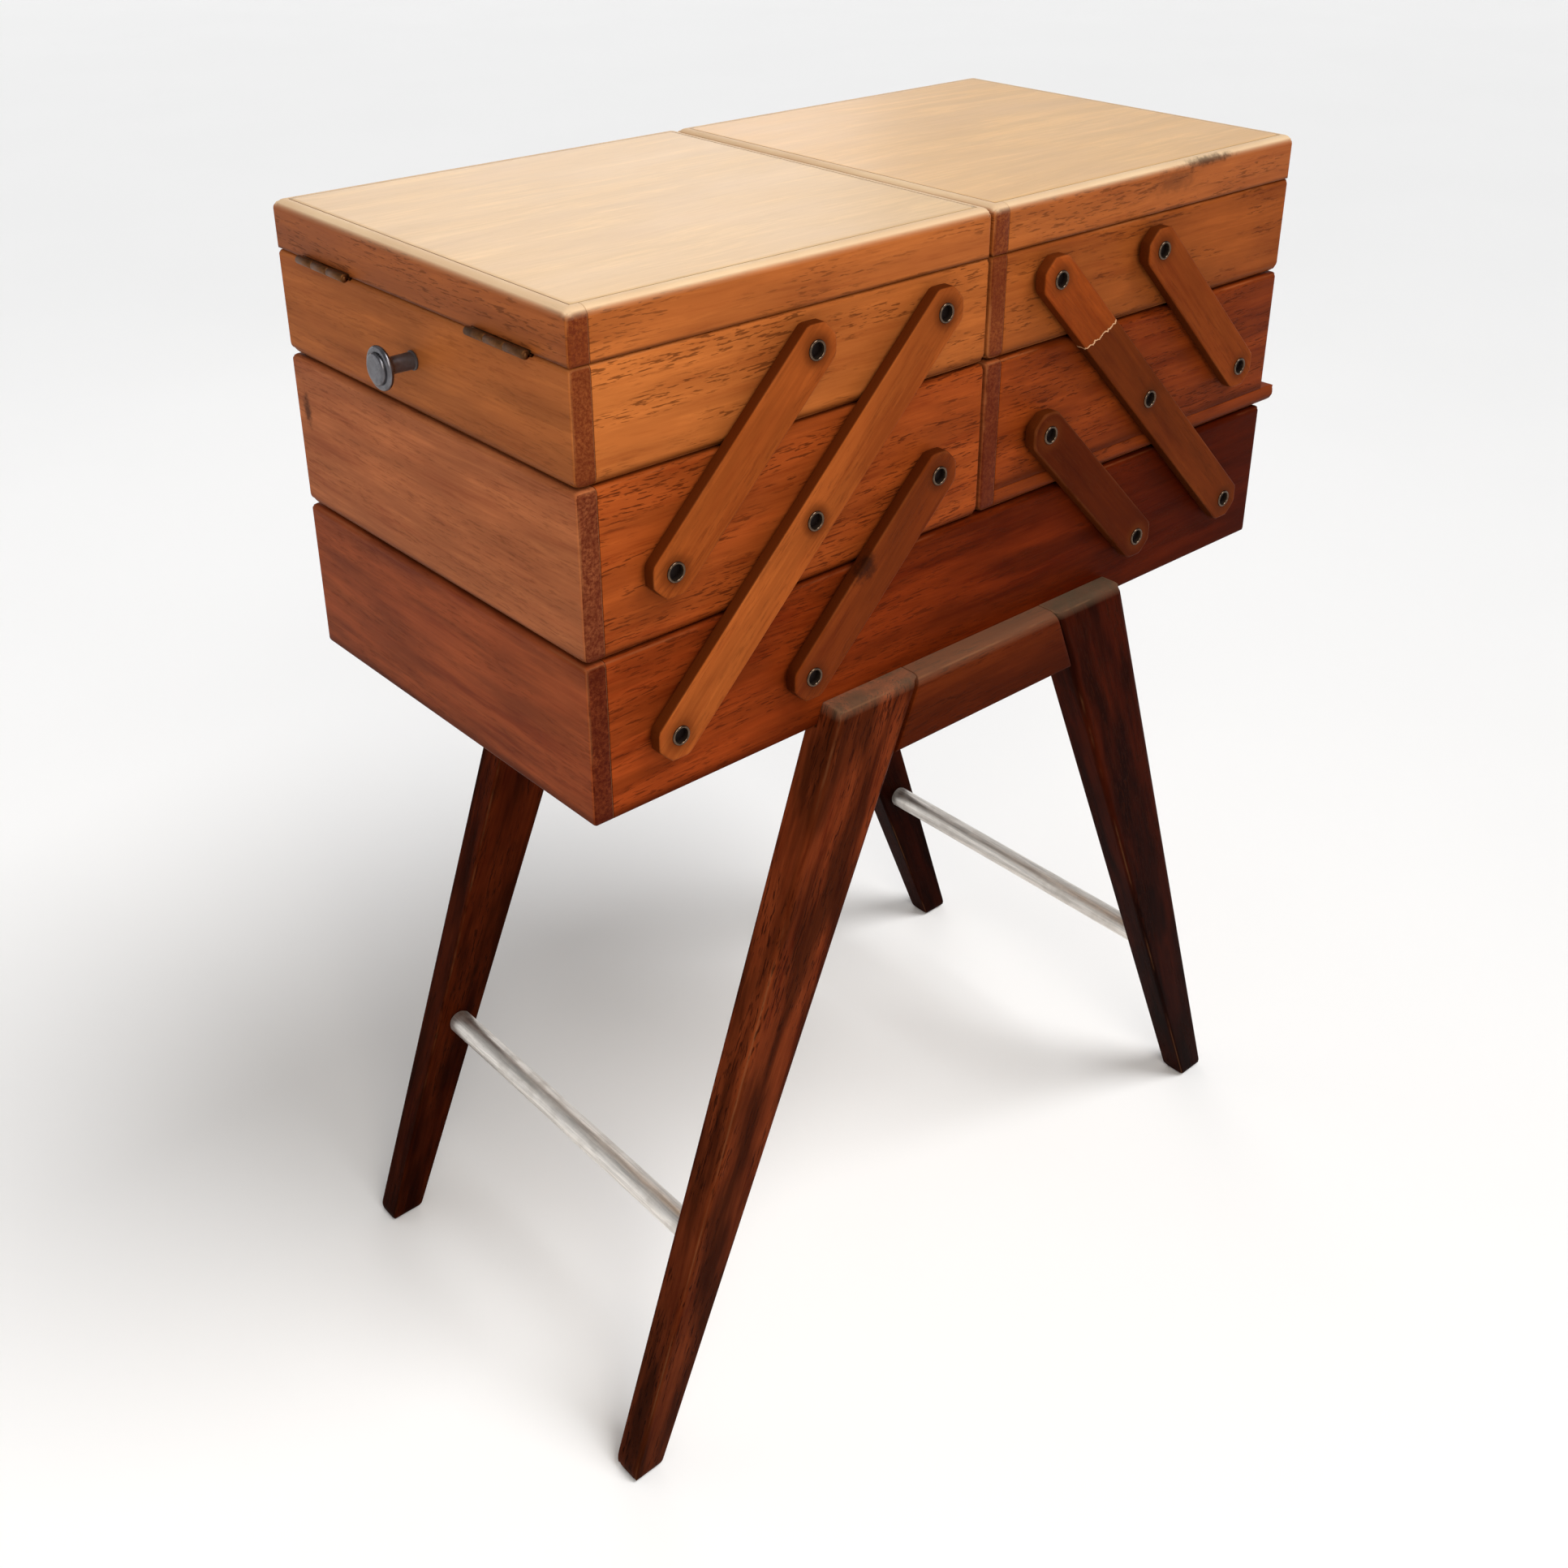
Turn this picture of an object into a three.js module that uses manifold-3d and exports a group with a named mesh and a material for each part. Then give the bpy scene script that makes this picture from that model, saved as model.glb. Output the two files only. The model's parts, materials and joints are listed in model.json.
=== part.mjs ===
// Wooden cantilever sewing box on a splayed stand. Three tiers of trays are linked by flat
// wooden arms, so that the upper two tiers swing out and down to the left and the right.
// Millimetres, +X to the right, front face towards -Y, +Z up, origin on the floor below the centre.
import * as THREE from 'three';
import { mergeVertices } from 'three/addons/utils/BufferGeometryUtils.js';
import Module from 'manifold-3d';

const manifoldLibrary = await Module();
manifoldLibrary.setup();

// Overall box
const LENGTH = 430;
const DEPTH = 212;
const STAND_DROP = 366;
const BOARD = 9;
const GAP = 0.3;
const SPLIT_GAP = 0.8;

// Tray tiers: the pitch is the same across and up, so the arms lean at 45 degrees
const PITCH = 71;
const TRAY_HEIGHT = 70.5;
const TOP_TRAY_HEIGHT = 46;
const BASE_THICKNESS = 4;
const BASE_RAISE = 1;

// Lids
const LID_GAP = 0.4;
const LID_HEIGHT = 20.6;
const LID_PANEL = 4;
const LID_MARGIN = 5;

// Linkage arms: pivots sit one pitch apart along each tray
const FIRST_PIVOT_X = 35.8;
const PIVOT_HEIGHT = 31.5;
const ARM_WIDTH = 21;
const ARM_THICKNESS = 6;
const ARM_STANDOFF = 2.5;
const RIVET_RADIUS = 4.3;
const RIVET_PROUD = 0.7;
const SPACER_RADIUS = 5;

// Stand
const STAND_THICKNESS = 12;
const LEG_SHOULDER = 7;
const LEG_FOOT_EXTRA = 3;
const STAND_LAP = 11;
const LEG_TOP_INNER = 46;
const LEG_TOP_OUTER = 94;
const LEG_FOOT_INNER = 205.7;
const LEG_FOOT_OUTER = 224;
const RAIL_DROP = 23;
const ROD_RADIUS = 6.35;
const ROD_BELOW_TRAY = 250;

// Knobs, one on each end of the top tier
const KNOB_LENGTH = 17;
const KNOB_RADIUS = 9;
const KNOB_STEM_RADIUS = 3.5;
const KNOB_RIM = 4.2;

// Butt hinges, two at each end, in the seam between tray and lid
const HINGE_Y = 64;
const HINGE_LENGTH = 38;
const HINGE_MIDDLE = 12.4;
const BARREL_RADIUS = 1.8;
const BARREL_OFFSET = 2.1;
const LEAF_THICKNESS = 0.8;
const LEAF_DEPTH = 7;
const LEAF_RECESS = 1.2;

// Edge strip under the front of the right middle tray, which runs past the tray's end
const STRIP_HEIGHT = 9;
const STRIP_OVERHANG = 11;

const HALF = LENGTH / 2;
const FACE = DEPTH / 2;
const SIDES = { left: -1, right: 1 };
const ENDS = { front: -1, rear: 1 };
const BOTTOM_Z = STAND_DROP;
const MIDDLE_Z = BOTTOM_Z + PITCH;
const TOP_Z = MIDDLE_Z + PITCH;
const LID_Z = TOP_Z + TOP_TRAY_HEIGHT + LID_GAP;
const SEAM_Z = LID_Z - LID_GAP / 2;

function wood(color, roughness) {
  return new THREE.MeshStandardMaterial({ color, roughness, metalness: 0 });
}

function metal(color, roughness) {
  return new THREE.MeshStandardMaterial({ color, roughness, metalness: 1 });
}

const materials = {
  top: wood(0xd7ae7c, 0.4),
  rim: wood(0xaf6932, 0.45),
  middle: wood(0x964b23, 0.45),
  bottom: wood(0x783219, 0.5),
  arm: wood(0x96552d, 0.45),
  leg: wood(0x54230f, 0.45),
  base: wood(0xb98a58, 0.6),
  rod: metal(0xa5a096, 0.35),
  knob: metal(0x8f8b88, 0.3),
  hinge: metal(0x5a3420, 0.5),
};

const root = new THREE.Group();

function addPiece(name, geometry, material) {
  const mesh = new THREE.Mesh(geometry, material);
  mesh.name = name;
  root.add(mesh);
}

// A block between two values of x, y and z, given in either order
function block([x0, x1], [y0, y1], [z0, z1]) {
  const size = [Math.abs(x1 - x0), Math.abs(y1 - y0), Math.abs(z1 - z0)];
  const geometry = new THREE.BoxGeometry(...size);
  return geometry.translate((x0 + x1) / 2, (y0 + y1) / 2, (z0 + z1) / 2);
}

// A shape drawn in X and Z, given thickness from the tray face outwards at the front or the rear
function plate(shape, end, innerY, thickness, curveSegments = 6) {
  const geometry = new THREE.ExtrudeGeometry(shape, { depth: thickness, bevelEnabled: false, curveSegments });
  geometry.rotateX(Math.PI / 2);
  return geometry.translate(0, end < 0 ? -innerY : innerY + thickness, 0);
}

function cylinderAlongY(radius, x, z, [y0, y1], segments = 24) {
  const geometry = new THREE.CylinderGeometry(radius, radius, Math.abs(y1 - y0), segments);
  return geometry.translate(x, (y0 + y1) / 2, z);
}

function toSolid(geometry) {
  const bare = geometry.clone();
  bare.deleteAttribute('normal');
  bare.deleteAttribute('uv');
  const merged = mergeVertices(bare, 1e-4);
  const vertProperties = new Float32Array(merged.attributes.position.array);
  const triVerts = new Uint32Array(merged.index.array);
  const mesh = new manifoldLibrary.Mesh({ numProp: 3, vertProperties, triVerts });
  return new manifoldLibrary.Manifold(mesh);
}

function toGeometry(solid) {
  const mesh = solid.getMesh();
  const geometry = new THREE.BufferGeometry();
  geometry.setAttribute('position', new THREE.BufferAttribute(mesh.vertProperties, 3));
  geometry.setIndex(new THREE.BufferAttribute(mesh.triVerts, 1));
  geometry.computeVertexNormals();
  return geometry;
}

function cut(geometry, ...tools) {
  return toGeometry(tools.reduce((solid, tool) => solid.subtract(toSolid(tool)), toSolid(geometry)));
}

function join(...geometries) {
  return toGeometry(geometries.map(toSolid).reduce((solid, other) => solid.add(other)));
}

// ---- Trays: four boards round a thin base. The left end laps both long boards. The front board runs
// through to the right corner, and the right end runs from behind it to the rear corner. ----

function hingeRecess(side, y, z0, z1) {
  const x = [side * (HALF - LEAF_DEPTH - 0.4), side * (HALF + 1)];
  return block(x, [y - HINGE_LENGTH / 2 - 0.4, y + HINGE_LENGTH / 2 + 0.4], [z0, z1]);
}

function addTray(name, [xLeft, xRight], z, height, material, endCuts = {}, frontLift = 0) {
  const between = [xLeft + BOARD + GAP, xRight - BOARD - GAP];
  const tall = [z, z + height];
  for (const [end, direction] of Object.entries(ENDS)) {
    const low = z + (end === 'front' ? frontLift : 0);
    const boardX = [between[0], end === 'front' ? xRight : between[1]];
    const boardY = [direction * (FACE - BOARD), direction * FACE];
    addPiece(`${name}_${end}_board`, block(boardX, boardY, [low, z + height]), material);
  }
  const endSpans = { left: [xLeft, xLeft + BOARD], right: [xRight - BOARD, xRight] };
  for (const [side, span] of Object.entries(endSpans)) {
    const board = block(span, [side === 'left' ? -FACE : -FACE + BOARD + GAP, FACE], tall);
    const tools = endCuts[side];
    addPiece(`${name}_${side}_end`, tools ? cut(board, ...tools) : board, material);
  }
  const inside = FACE - BOARD - GAP;
  const baseZ = [z + BASE_RAISE, z + BASE_RAISE + BASE_THICKNESS];
  addPiece(`${name}_base`, block(between, [-inside, inside], baseZ), materials.base);
}

function halfSpan(side) {
  return side < 0 ? [-HALF, -SPLIT_GAP / 2] : [SPLIT_GAP / 2, HALF];
}

function addEdgeStrip() {
  const start = SPLIT_GAP / 2 + BOARD + GAP;
  const radius = STRIP_HEIGHT / 2;
  const tip = HALF + STRIP_OVERHANG - radius;
  const shape = new THREE.Shape();
  shape.moveTo(start, MIDDLE_Z);
  shape.lineTo(tip, MIDDLE_Z);
  shape.absarc(tip, MIDDLE_Z + radius, radius, -Math.PI / 2, Math.PI / 2, false);
  shape.lineTo(start, MIDDLE_Z + STRIP_HEIGHT);
  const geometry = plate(shape, ENDS.front, FACE - BOARD + GAP, BOARD - GAP);
  addPiece('middle_right_edge_strip', geometry, materials.middle);
}

function addTrays() {
  addTray('bottom', [-HALF, HALF], BOTTOM_Z, TRAY_HEIGHT, materials.bottom);
  addTray('middle_left', halfSpan(-1), MIDDLE_Z, TRAY_HEIGHT, materials.middle);
  addTray('middle_right', halfSpan(1), MIDDLE_Z, TRAY_HEIGHT, materials.middle, {}, STRIP_HEIGHT + GAP);
  addEdgeStrip();
  const rim = TOP_Z + TOP_TRAY_HEIGHT;
  for (const [side, direction] of Object.entries(SIDES)) {
    const recesses = [-HINGE_Y, HINGE_Y].map((y) => hingeRecess(direction, y, rim - LEAF_RECESS, rim + 1));
    addTray(`top_${side}`, halfSpan(direction), TOP_Z, TOP_TRAY_HEIGHT, materials.rim, { [side]: recesses });
  }
}

// ---- Lids: a rebated rim with a flush top panel ----

function addLid(side, direction) {
  const [x0, x1] = halfSpan(direction);
  const top = LID_Z + LID_HEIGHT;
  const inner = (margin, z) => block([x0 + margin, x1 - margin], [-FACE + margin, FACE - margin], z);
  const recesses = [-HINGE_Y, HINGE_Y].map((y) => hingeRecess(direction, y, LID_Z - 1, LID_Z + LEAF_RECESS));
  const rim = cut(
    block([x0, x1], [-FACE, FACE], [LID_Z, top]),
    inner(BOARD, [LID_Z - 1, top + 1]),
    inner(LID_MARGIN, [top - LID_PANEL - GAP, top + 1]),
    ...recesses,
  );
  addPiece(`lid_${side}_rim`, rim, materials.rim);
  addPiece(`lid_${side}_panel`, inner(LID_MARGIN + GAP, [top - LID_PANEL, top]), materials.top);
}

// ---- Butt hinges: each leaf is a plate with its own knuckles round the pin axis ----

function hingeLeaf(direction, y, plateZ, knuckles) {
  const wall = direction * HALF;
  const axis = direction * (HALF + BARREL_OFFSET);
  const inside = [wall - direction * LEAF_DEPTH, wall - direction * 0.1];
  const solids = [block(inside, [y - HINGE_LENGTH / 2, y + HINGE_LENGTH / 2], plateZ)];
  for (const [a, b] of knuckles) {
    solids.push(block([wall - direction, axis], [y + a, y + b], plateZ));
    solids.push(cylinderAlongY(BARREL_RADIUS, axis, SEAM_Z, [y + a, y + b], 20));
  }
  return join(...solids);
}

function addHinges(side, direction) {
  const middle = HINGE_MIDDLE / 2;
  const outer = HINGE_LENGTH / 2;
  const trayKnuckles = [[-outer, -middle - GAP], [middle + GAP, outer]];
  const lidKnuckles = [[-middle, middle]];
  for (const [end, sign] of Object.entries(ENDS)) {
    const y = sign * HINGE_Y;
    const trayPlate = [SEAM_Z - GAP - LEAF_THICKNESS, SEAM_Z - GAP];
    const lidPlate = [SEAM_Z + GAP, SEAM_Z + GAP + LEAF_THICKNESS];
    addPiece(`hinge_${side}_${end}_tray_leaf`, hingeLeaf(direction, y, trayPlate, trayKnuckles), materials.hinge);
    addPiece(`hinge_${side}_${end}_lid_leaf`, hingeLeaf(direction, y, lidPlate, lidKnuckles), materials.hinge);
  }
}

// ---- Knobs: a turned mushroom with a raised face ----

function addKnob(side, direction) {
  const headBack = KNOB_LENGTH - KNOB_RIM;
  const profile = [
    [0, 0],
    [KNOB_STEM_RADIUS + 0.8, 0],
    [KNOB_STEM_RADIUS, 1.5],
    [KNOB_STEM_RADIUS, headBack - 2.5],
    [KNOB_RADIUS - 1.5, headBack],
    [KNOB_RADIUS, headBack + 1],
    [KNOB_RADIUS, headBack + 2.2],
    [KNOB_RADIUS - 1.4, headBack + 3.2],
    [KNOB_RADIUS - 2.2, KNOB_LENGTH],
    [0, KNOB_LENGTH],
  ];
  const geometry = new THREE.LatheGeometry(profile.map(([r, h]) => new THREE.Vector2(r, h)), 36);
  geometry.rotateZ(-direction * Math.PI / 2);
  geometry.translate(direction * (HALF + GAP), 0, TOP_Z + TOP_TRAY_HEIGHT / 2);
  addPiece(`knob_${side}`, geometry, materials.knob);
}

// ---- Linkage arms ----

// Pivot number 0 is nearest the centre; tier 0 is the bottom tray
function pivot(direction, index, tier) {
  return { x: direction * (FIRST_PIVOT_X + index * PITCH), z: BOTTOM_Z + PIVOT_HEIGHT + tier * PITCH };
}

function armOutline(low, high) {
  const radius = ARM_WIDTH / 2;
  const angle = Math.atan2(high.z - low.z, high.x - low.x);
  const shape = new THREE.Shape();
  shape.absarc(high.x, high.z, radius, angle - Math.PI / 2, angle + Math.PI / 2, false);
  shape.absarc(low.x, low.z, radius, angle + Math.PI / 2, angle + 1.5 * Math.PI, false);
  shape.closePath();
  return shape;
}

function arm(end, pivots) {
  const inner = FACE + ARM_STANDOFF;
  const outer = inner + ARM_THICKNESS;
  const bar = plate(armOutline(pivots[0], pivots[pivots.length - 1]), end, inner, ARM_THICKNESS);
  const rivets = pivots.map(({ x, z }) => {
    return cylinderAlongY(RIVET_RADIUS, x, z, [end * (inner + 1), end * (outer + RIVET_PROUD)]);
  });
  const spacers = pivots.map(({ x, z }) => {
    return cylinderAlongY(SPACER_RADIUS, x, z, [end * (FACE + GAP), end * (inner + 1)]);
  });
  return join(bar, ...rivets, ...spacers);
}

function addArms(side, direction) {
  for (const [end, sign] of Object.entries(ENDS)) {
    const at = (index, tier) => pivot(direction, index, tier);
    const sets = {
      lower_short_arm: [at(1, 0), at(0, 1)],
      long_arm: [at(2, 0), at(1, 1), at(0, 2)],
      upper_short_arm: [at(2, 1), at(1, 2)],
    };
    for (const [name, pivots] of Object.entries(sets)) {
      addPiece(`${name}_${side}_${end}`, arm(sign, pivots), materials.arm);
    }
  }
}

// ---- Stand: two frames of splayed legs and a rail, tied by two round rods ----

const STAND_TOP = BOTTOM_Z + STAND_LAP;

function legOutline(direction) {
  const shape = new THREE.Shape();
  shape.moveTo(direction * LEG_TOP_INNER, STAND_TOP);
  shape.lineTo(direction * LEG_FOOT_INNER, 0);
  shape.lineTo(direction * LEG_FOOT_OUTER, 0);
  shape.lineTo(direction * LEG_TOP_OUTER, STAND_TOP);
  shape.closePath();
  return shape;
}

// How far a leg reaches in behind the stand's lapped face at height z: it carries the tray on a shoulder
// and tapers towards its foot
function legReach(z) {
  return LEG_FOOT_EXTRA + (LEG_SHOULDER - LEG_FOOT_EXTRA) * z / (BOTTOM_Z - GAP);
}

// A leg's side view, with Y counted outwards
function legProfile(inner) {
  const shoulder = BOTTOM_Z - GAP;
  const outer = inner + STAND_THICKNESS;
  const shape = new THREE.Shape();
  shape.moveTo(outer, 0);
  shape.lineTo(outer, STAND_TOP);
  shape.lineTo(inner, STAND_TOP);
  shape.lineTo(inner, shoulder);
  shape.lineTo(inner - legReach(shoulder), shoulder);
  shape.lineTo(inner - legReach(0), 0);
  shape.closePath();
  return shape;
}

// A shape drawn in Y and Z, given length along X on both sides of the middle
function crossPlate(shape, length) {
  const geometry = new THREE.ExtrudeGeometry(shape, { depth: length, bevelEnabled: false });
  geometry.translate(0, 0, -length / 2);
  const axes = [new THREE.Vector3(0, 1, 0), new THREE.Vector3(0, 0, 1), new THREE.Vector3(1, 0, 0)];
  return geometry.applyMatrix4(new THREE.Matrix4().makeBasis(...axes));
}

// A leg is what its front view and its side view have in common
function leg(direction, sign, inner) {
  const reach = legReach(BOTTOM_Z) + 1;
  const front = plate(legOutline(direction), sign, inner - reach, STAND_THICKNESS + reach + 1);
  const side = crossPlate(legProfile(inner), 4 * HALF);
  if (sign < 0) side.rotateZ(Math.PI);
  return toGeometry(toSolid(front).intersect(toSolid(side)));
}

// Distance of the legs' inner edge from the centre at height z
function innerEdge(z) {
  return LEG_TOP_INNER + (LEG_FOOT_INNER - LEG_TOP_INNER) * (STAND_TOP - z) / STAND_TOP;
}

function railOutline() {
  const low = BOTTOM_Z - RAIL_DROP;
  const shape = new THREE.Shape();
  shape.moveTo(-innerEdge(low) + GAP, low);
  shape.lineTo(innerEdge(low) - GAP, low);
  shape.lineTo(LEG_TOP_INNER - GAP, STAND_TOP);
  shape.lineTo(-LEG_TOP_INNER + GAP, STAND_TOP);
  shape.closePath();
  return shape;
}

function addStand() {
  const inner = FACE + GAP;
  for (const [end, sign] of Object.entries(ENDS)) {
    addPiece(`rail_${end}`, plate(railOutline(), sign, inner, STAND_THICKNESS), materials.leg);
    for (const [side, direction] of Object.entries(SIDES)) {
      addPiece(`leg_${side}_${end}`, leg(direction, sign, inner), materials.leg);
    }
  }
  const rodZ = BOTTOM_Z - ROD_BELOW_TRAY;
  const drop = (STAND_TOP - rodZ) / STAND_TOP;
  const outerX = LEG_TOP_OUTER + (LEG_FOOT_OUTER - LEG_TOP_OUTER) * drop;
  const rodX = (innerEdge(rodZ) + outerX) / 2;
  for (const [side, direction] of Object.entries(SIDES)) {
    const end = inner - legReach(rodZ + ROD_RADIUS) - GAP;
    addPiece(`rod_${side}`, cylinderAlongY(ROD_RADIUS, direction * rodX, rodZ, [-end, end], 32), materials.rod);
  }
}

addTrays();
addStand();
for (const [side, direction] of Object.entries(SIDES)) {
  addLid(side, direction);
  addHinges(side, direction);
  addKnob(side, direction);
  addArms(side, direction);
}

export default root;
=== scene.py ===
"""Looks of a wooden cantilever sewing box on a splayed stand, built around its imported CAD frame.

Metres, +X to the right, front face towards -Y, +Z up, floor at zero. Every board, arm, rivet, leg and
fitting is its own piece, worked out from the CAD boxes and riding on its CAD body.
"""
import itertools
import json
import math

import bmesh
import bpy
import numpy as np
from bpy.props import FloatProperty, FloatVectorProperty, PointerProperty
from mathutils import Euler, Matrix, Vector
from mathutils.geometry import tessellate_polygon


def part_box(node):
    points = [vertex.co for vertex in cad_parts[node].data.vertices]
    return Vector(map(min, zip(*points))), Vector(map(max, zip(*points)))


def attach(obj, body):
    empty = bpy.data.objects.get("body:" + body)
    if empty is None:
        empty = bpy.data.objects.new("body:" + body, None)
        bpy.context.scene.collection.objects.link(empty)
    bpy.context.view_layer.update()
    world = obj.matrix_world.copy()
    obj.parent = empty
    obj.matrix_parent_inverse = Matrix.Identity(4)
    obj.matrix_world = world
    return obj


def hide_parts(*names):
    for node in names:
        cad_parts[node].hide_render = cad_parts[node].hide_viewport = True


bl_info = {
    "name": "Cantilever sewing box",
    "version": (1, 0, 0),
    "blender": (4, 5, 0),
    "location": "View3D > Sidebar > Sewing box",
    "description": "Builds a wooden cantilever sewing box on legs, piece by piece",
    "category": "Add Mesh",
}

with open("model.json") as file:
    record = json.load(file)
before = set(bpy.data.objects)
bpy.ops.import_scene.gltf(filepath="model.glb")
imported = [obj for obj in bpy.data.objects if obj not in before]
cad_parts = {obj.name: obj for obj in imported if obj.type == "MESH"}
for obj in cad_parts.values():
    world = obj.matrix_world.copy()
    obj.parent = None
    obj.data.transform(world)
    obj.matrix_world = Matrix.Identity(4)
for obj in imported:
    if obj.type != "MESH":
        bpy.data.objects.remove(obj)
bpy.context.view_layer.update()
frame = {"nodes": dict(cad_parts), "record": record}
BEHAVIOUR = frame["record"]["behaviour"]
NODE_BODY = {node: body for body, nodes in BEHAVIOUR["bodies"].items() for node in nodes}
JOINT_HEIGHT = {joint["name"]: joint["pos_m"][2] for joint in BEHAVIOUR["joints"]}

MM = 0.001
SIDES = {"left": -1, "right": 1}
ENDS = {"front": -1, "rear": 1}
FACES = [(axis, side) for axis in range(3) for side in (-1, 1)]
EDGES = [(a, b) for a, b in itertools.combinations(FACES, 2) if a[0] != b[0]]

# How near two places count as the same, the fold above which an edge is drawn sharp, and how far the
# guard line of a board's grid stands from the board's end
TOUCH = 0.05 * MM
SHARP_FOLD = math.radians(50)
GUARD = 2.5 * MM

# A value of the edge and foot attributes that is too far off for any wear or dirt, in millimetres
FAR_OFF = 50

# How much longer than its CAD box a board is drawn, so that its joint stays open by only a hair
JOINT_SLACK = 0.22 * MM

# Hinge leaves: room round a leaf in its recess, depth of the recess, the plate's lower and upper level
# above the seam, and half the length of the middle knuckle
LEAF_ROOM = 0.4 * MM
LEAF_RECESS = 1.35 * MM
PLATE_LEVELS = (0.16 * MM, 1.05 * MM)
MIDDLE_KNUCKLE = 6.2 * MM

# Arms and rivets, counted back from an arm's outer face: the arm's thickness, the front of the spacers
# and the face of the tray. RIVET_WELL is the depth of a rivet's hollow, whose darkness is painted shade,
# and HOLE_ROOM the room between a rivet's bore and the hole in the arm.
ARM_THICKNESS = 6 * MM
SPACER_FRONT = 6.05 * MM
TRAY_BEHIND = 8.2 * MM
RIVET_WELL = 1.6 * MM
HOLE_ROOM = 0.35 * MM

# Legs: the gap between a leg's shoulder and the tray, the easing of sawn edges, and the rounding of the
# foot's front and rear edges, inner edge and outer edge, which one leg has worn further
SHOULDER_GAP = 0.3 * MM
SAWN_EDGE = 0.6 * MM
FOOT_ROUNDING = {"across": 4.0 * MM, "inner": 3.0 * MM, "outer": 5.5 * MM}
MOST_WORN_FOOT = {"leg_left_front": 9.0 * MM}

# Worn tops of the legs and rails, pale wear with a painted highlight: how far it reaches down, and its
# strength at the very top
TOP_WEAR_AND_HIGHLIGHT_REACH = 5 * MM
TOP_WEAR_AND_HIGHLIGHT_STRENGTH = 0.11

# How many times narrower than the painted shade at a tray's foot the dark band is along a lid panel's seam,
# where it is dirt in the joint, and along a rim's foot, where it is painted shade in the gap below the lid,
# and the power that makes the pale wear of a rim fade soon below its top
SEAM_SHARPNESS = 14
RIM_SHARPNESS = 4
BLEACH_POWER = 1.6


# ---------------------------------------------------------------------------------------------
# Sizes and colours that a user would change
# ---------------------------------------------------------------------------------------------

def length(name, description, millimetres):
    """A length property, with its default given in millimetres."""
    return FloatProperty(name=name, description=description, default=millimetres * MM, min=0, unit="LENGTH")


def colour(name, description, value):
    """A colour property, with its default in linear red, green and blue."""
    return FloatVectorProperty(name=name, description=description, default=value, size=3,
                               min=0, max=1, subtype="COLOR")


class EdgeSizes(bpy.types.PropertyGroup):
    """Radii of the rounded and eased edges"""
    tray_foot: length("Tray foot", "Rounding along the bottom edges of the upper trays", 4.5)
    bottom_foot: length("Bottom tray foot", "Rounding along the bottom edges of the bottom tray", 1.8)
    tray_rim: length("Tray rim", "Easing of the top outer edges of the trays", 2.4)
    tray_corner: length("Tray corner", "Rounding of the upright corners of the trays", 1.3)
    right_corner: length("Right front corner", "Rounding of the front boards' right corners", 3.0)
    lid_top: length("Lid top", "Rounding along the top edges of the lids", 4.0)
    joint: length("Joint", "Easing of every edge where two boards meet", 0.25)
    arm: length("Arm", "Rounding along the outer edges of the arms", 0.9)
    leg: length("Leg", "Rounding along the arrises of the legs", 3.0)
    stand_top: length("Stand top", "Rounding along the top front edge of the legs and rails", 5.0)


class FittingSizes(bpy.types.PropertyGroup):
    """Sizes of the metal fittings that the CAD boxes don't give"""
    rivet: length("Rivet radius", "Outer radius of a rivet's rolled rim", 4.3)
    rivet_hole: length("Rivet bore radius", "Radius of the dark hollow of a tubular rivet", 3.15)
    rivet_proud: length("Rivet height", "How far a rivet's rim stands above its arm", 0.7)
    spacer: length("Spacer radius", "Radius of the spacer behind each rivet", 5.0)
    hinge_pin: length("Hinge pin radius", "Radius of the pin through the knuckles", 0.95)


class WoodColours(bpy.types.PropertyGroup):
    """Base colours of the woods, lightest tone of each"""
    lid: colour("Lid veneer", "Pale golden veneer on the lid panels", (0.70, 0.465, 0.235))
    top: colour("Top tier", "Orange-tan oak of the lids' rims and the top trays", (0.34, 0.092, 0.0185))
    middle: colour("Middle tier", "Mid red-brown oak of the middle trays", (0.250, 0.047, 0.0075))
    bottom: colour("Bottom tray", "Dark red-brown oak of the bottom tray", (0.165, 0.024, 0.0036))
    arm: colour("Arms", "Brown hardwood of the linkage arms", (0.29, 0.069, 0.0125))
    stand: colour("Stand", "Dark stained hardwood of the legs and rails", (0.074, 0.012, 0.0026))
    base: colour("Tray bases", "Plain plywood of the tray bases", (0.52, 0.32, 0.16))


class MetalColours(bpy.types.PropertyGroup):
    """Base colours of the metals"""
    rod: colour("Tie rods", "Dulled aluminium", (0.80, 0.76, 0.71))
    knob: colour("Knobs", "Tarnished nickel plate", (0.15, 0.147, 0.16))
    rivet: colour("Rivets", "Nickel-plated rim", (0.105, 0.068, 0.045))
    hinge: colour("Hinges", "Dark bronzed brass", (0.15, 0.060, 0.020))


class StageSettings(bpy.types.PropertyGroup):
    """Camera, floor and light"""
    azimuth: FloatProperty(name="Azimuth", description="Camera's turn round the box",
                           default=math.radians(-41.67), subtype="ANGLE", unit="ROTATION")
    pitch: FloatProperty(name="Pitch", description="Camera's tilt below the horizon",
                         default=math.radians(26.73), subtype="ANGLE", unit="ROTATION")
    lens: FloatProperty(name="Lens", description="Focal length in millimetres", default=40.22, min=1)
    rise: FloatProperty(name="Rise", description="Vertical shift of the lens", default=-0.1119)
    floor: colour("Floor", "Pale plain floor", (0.97, 0.97, 0.97))
    key: FloatProperty(name="Key light", description="Strength of the soft light from the front right",
                       default=1.9, min=0)
    near: FloatProperty(name="Near light", description="Power of the lamp close to the left front corner",
                        default=6.0, min=0)
    glow: FloatProperty(name="Glow", description="Power of the panel that the lids reflect",
                        default=1.6, min=0)
    sky: FloatProperty(name="Sky", description="Strength of the even light all round", default=0.33, min=0)


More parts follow.
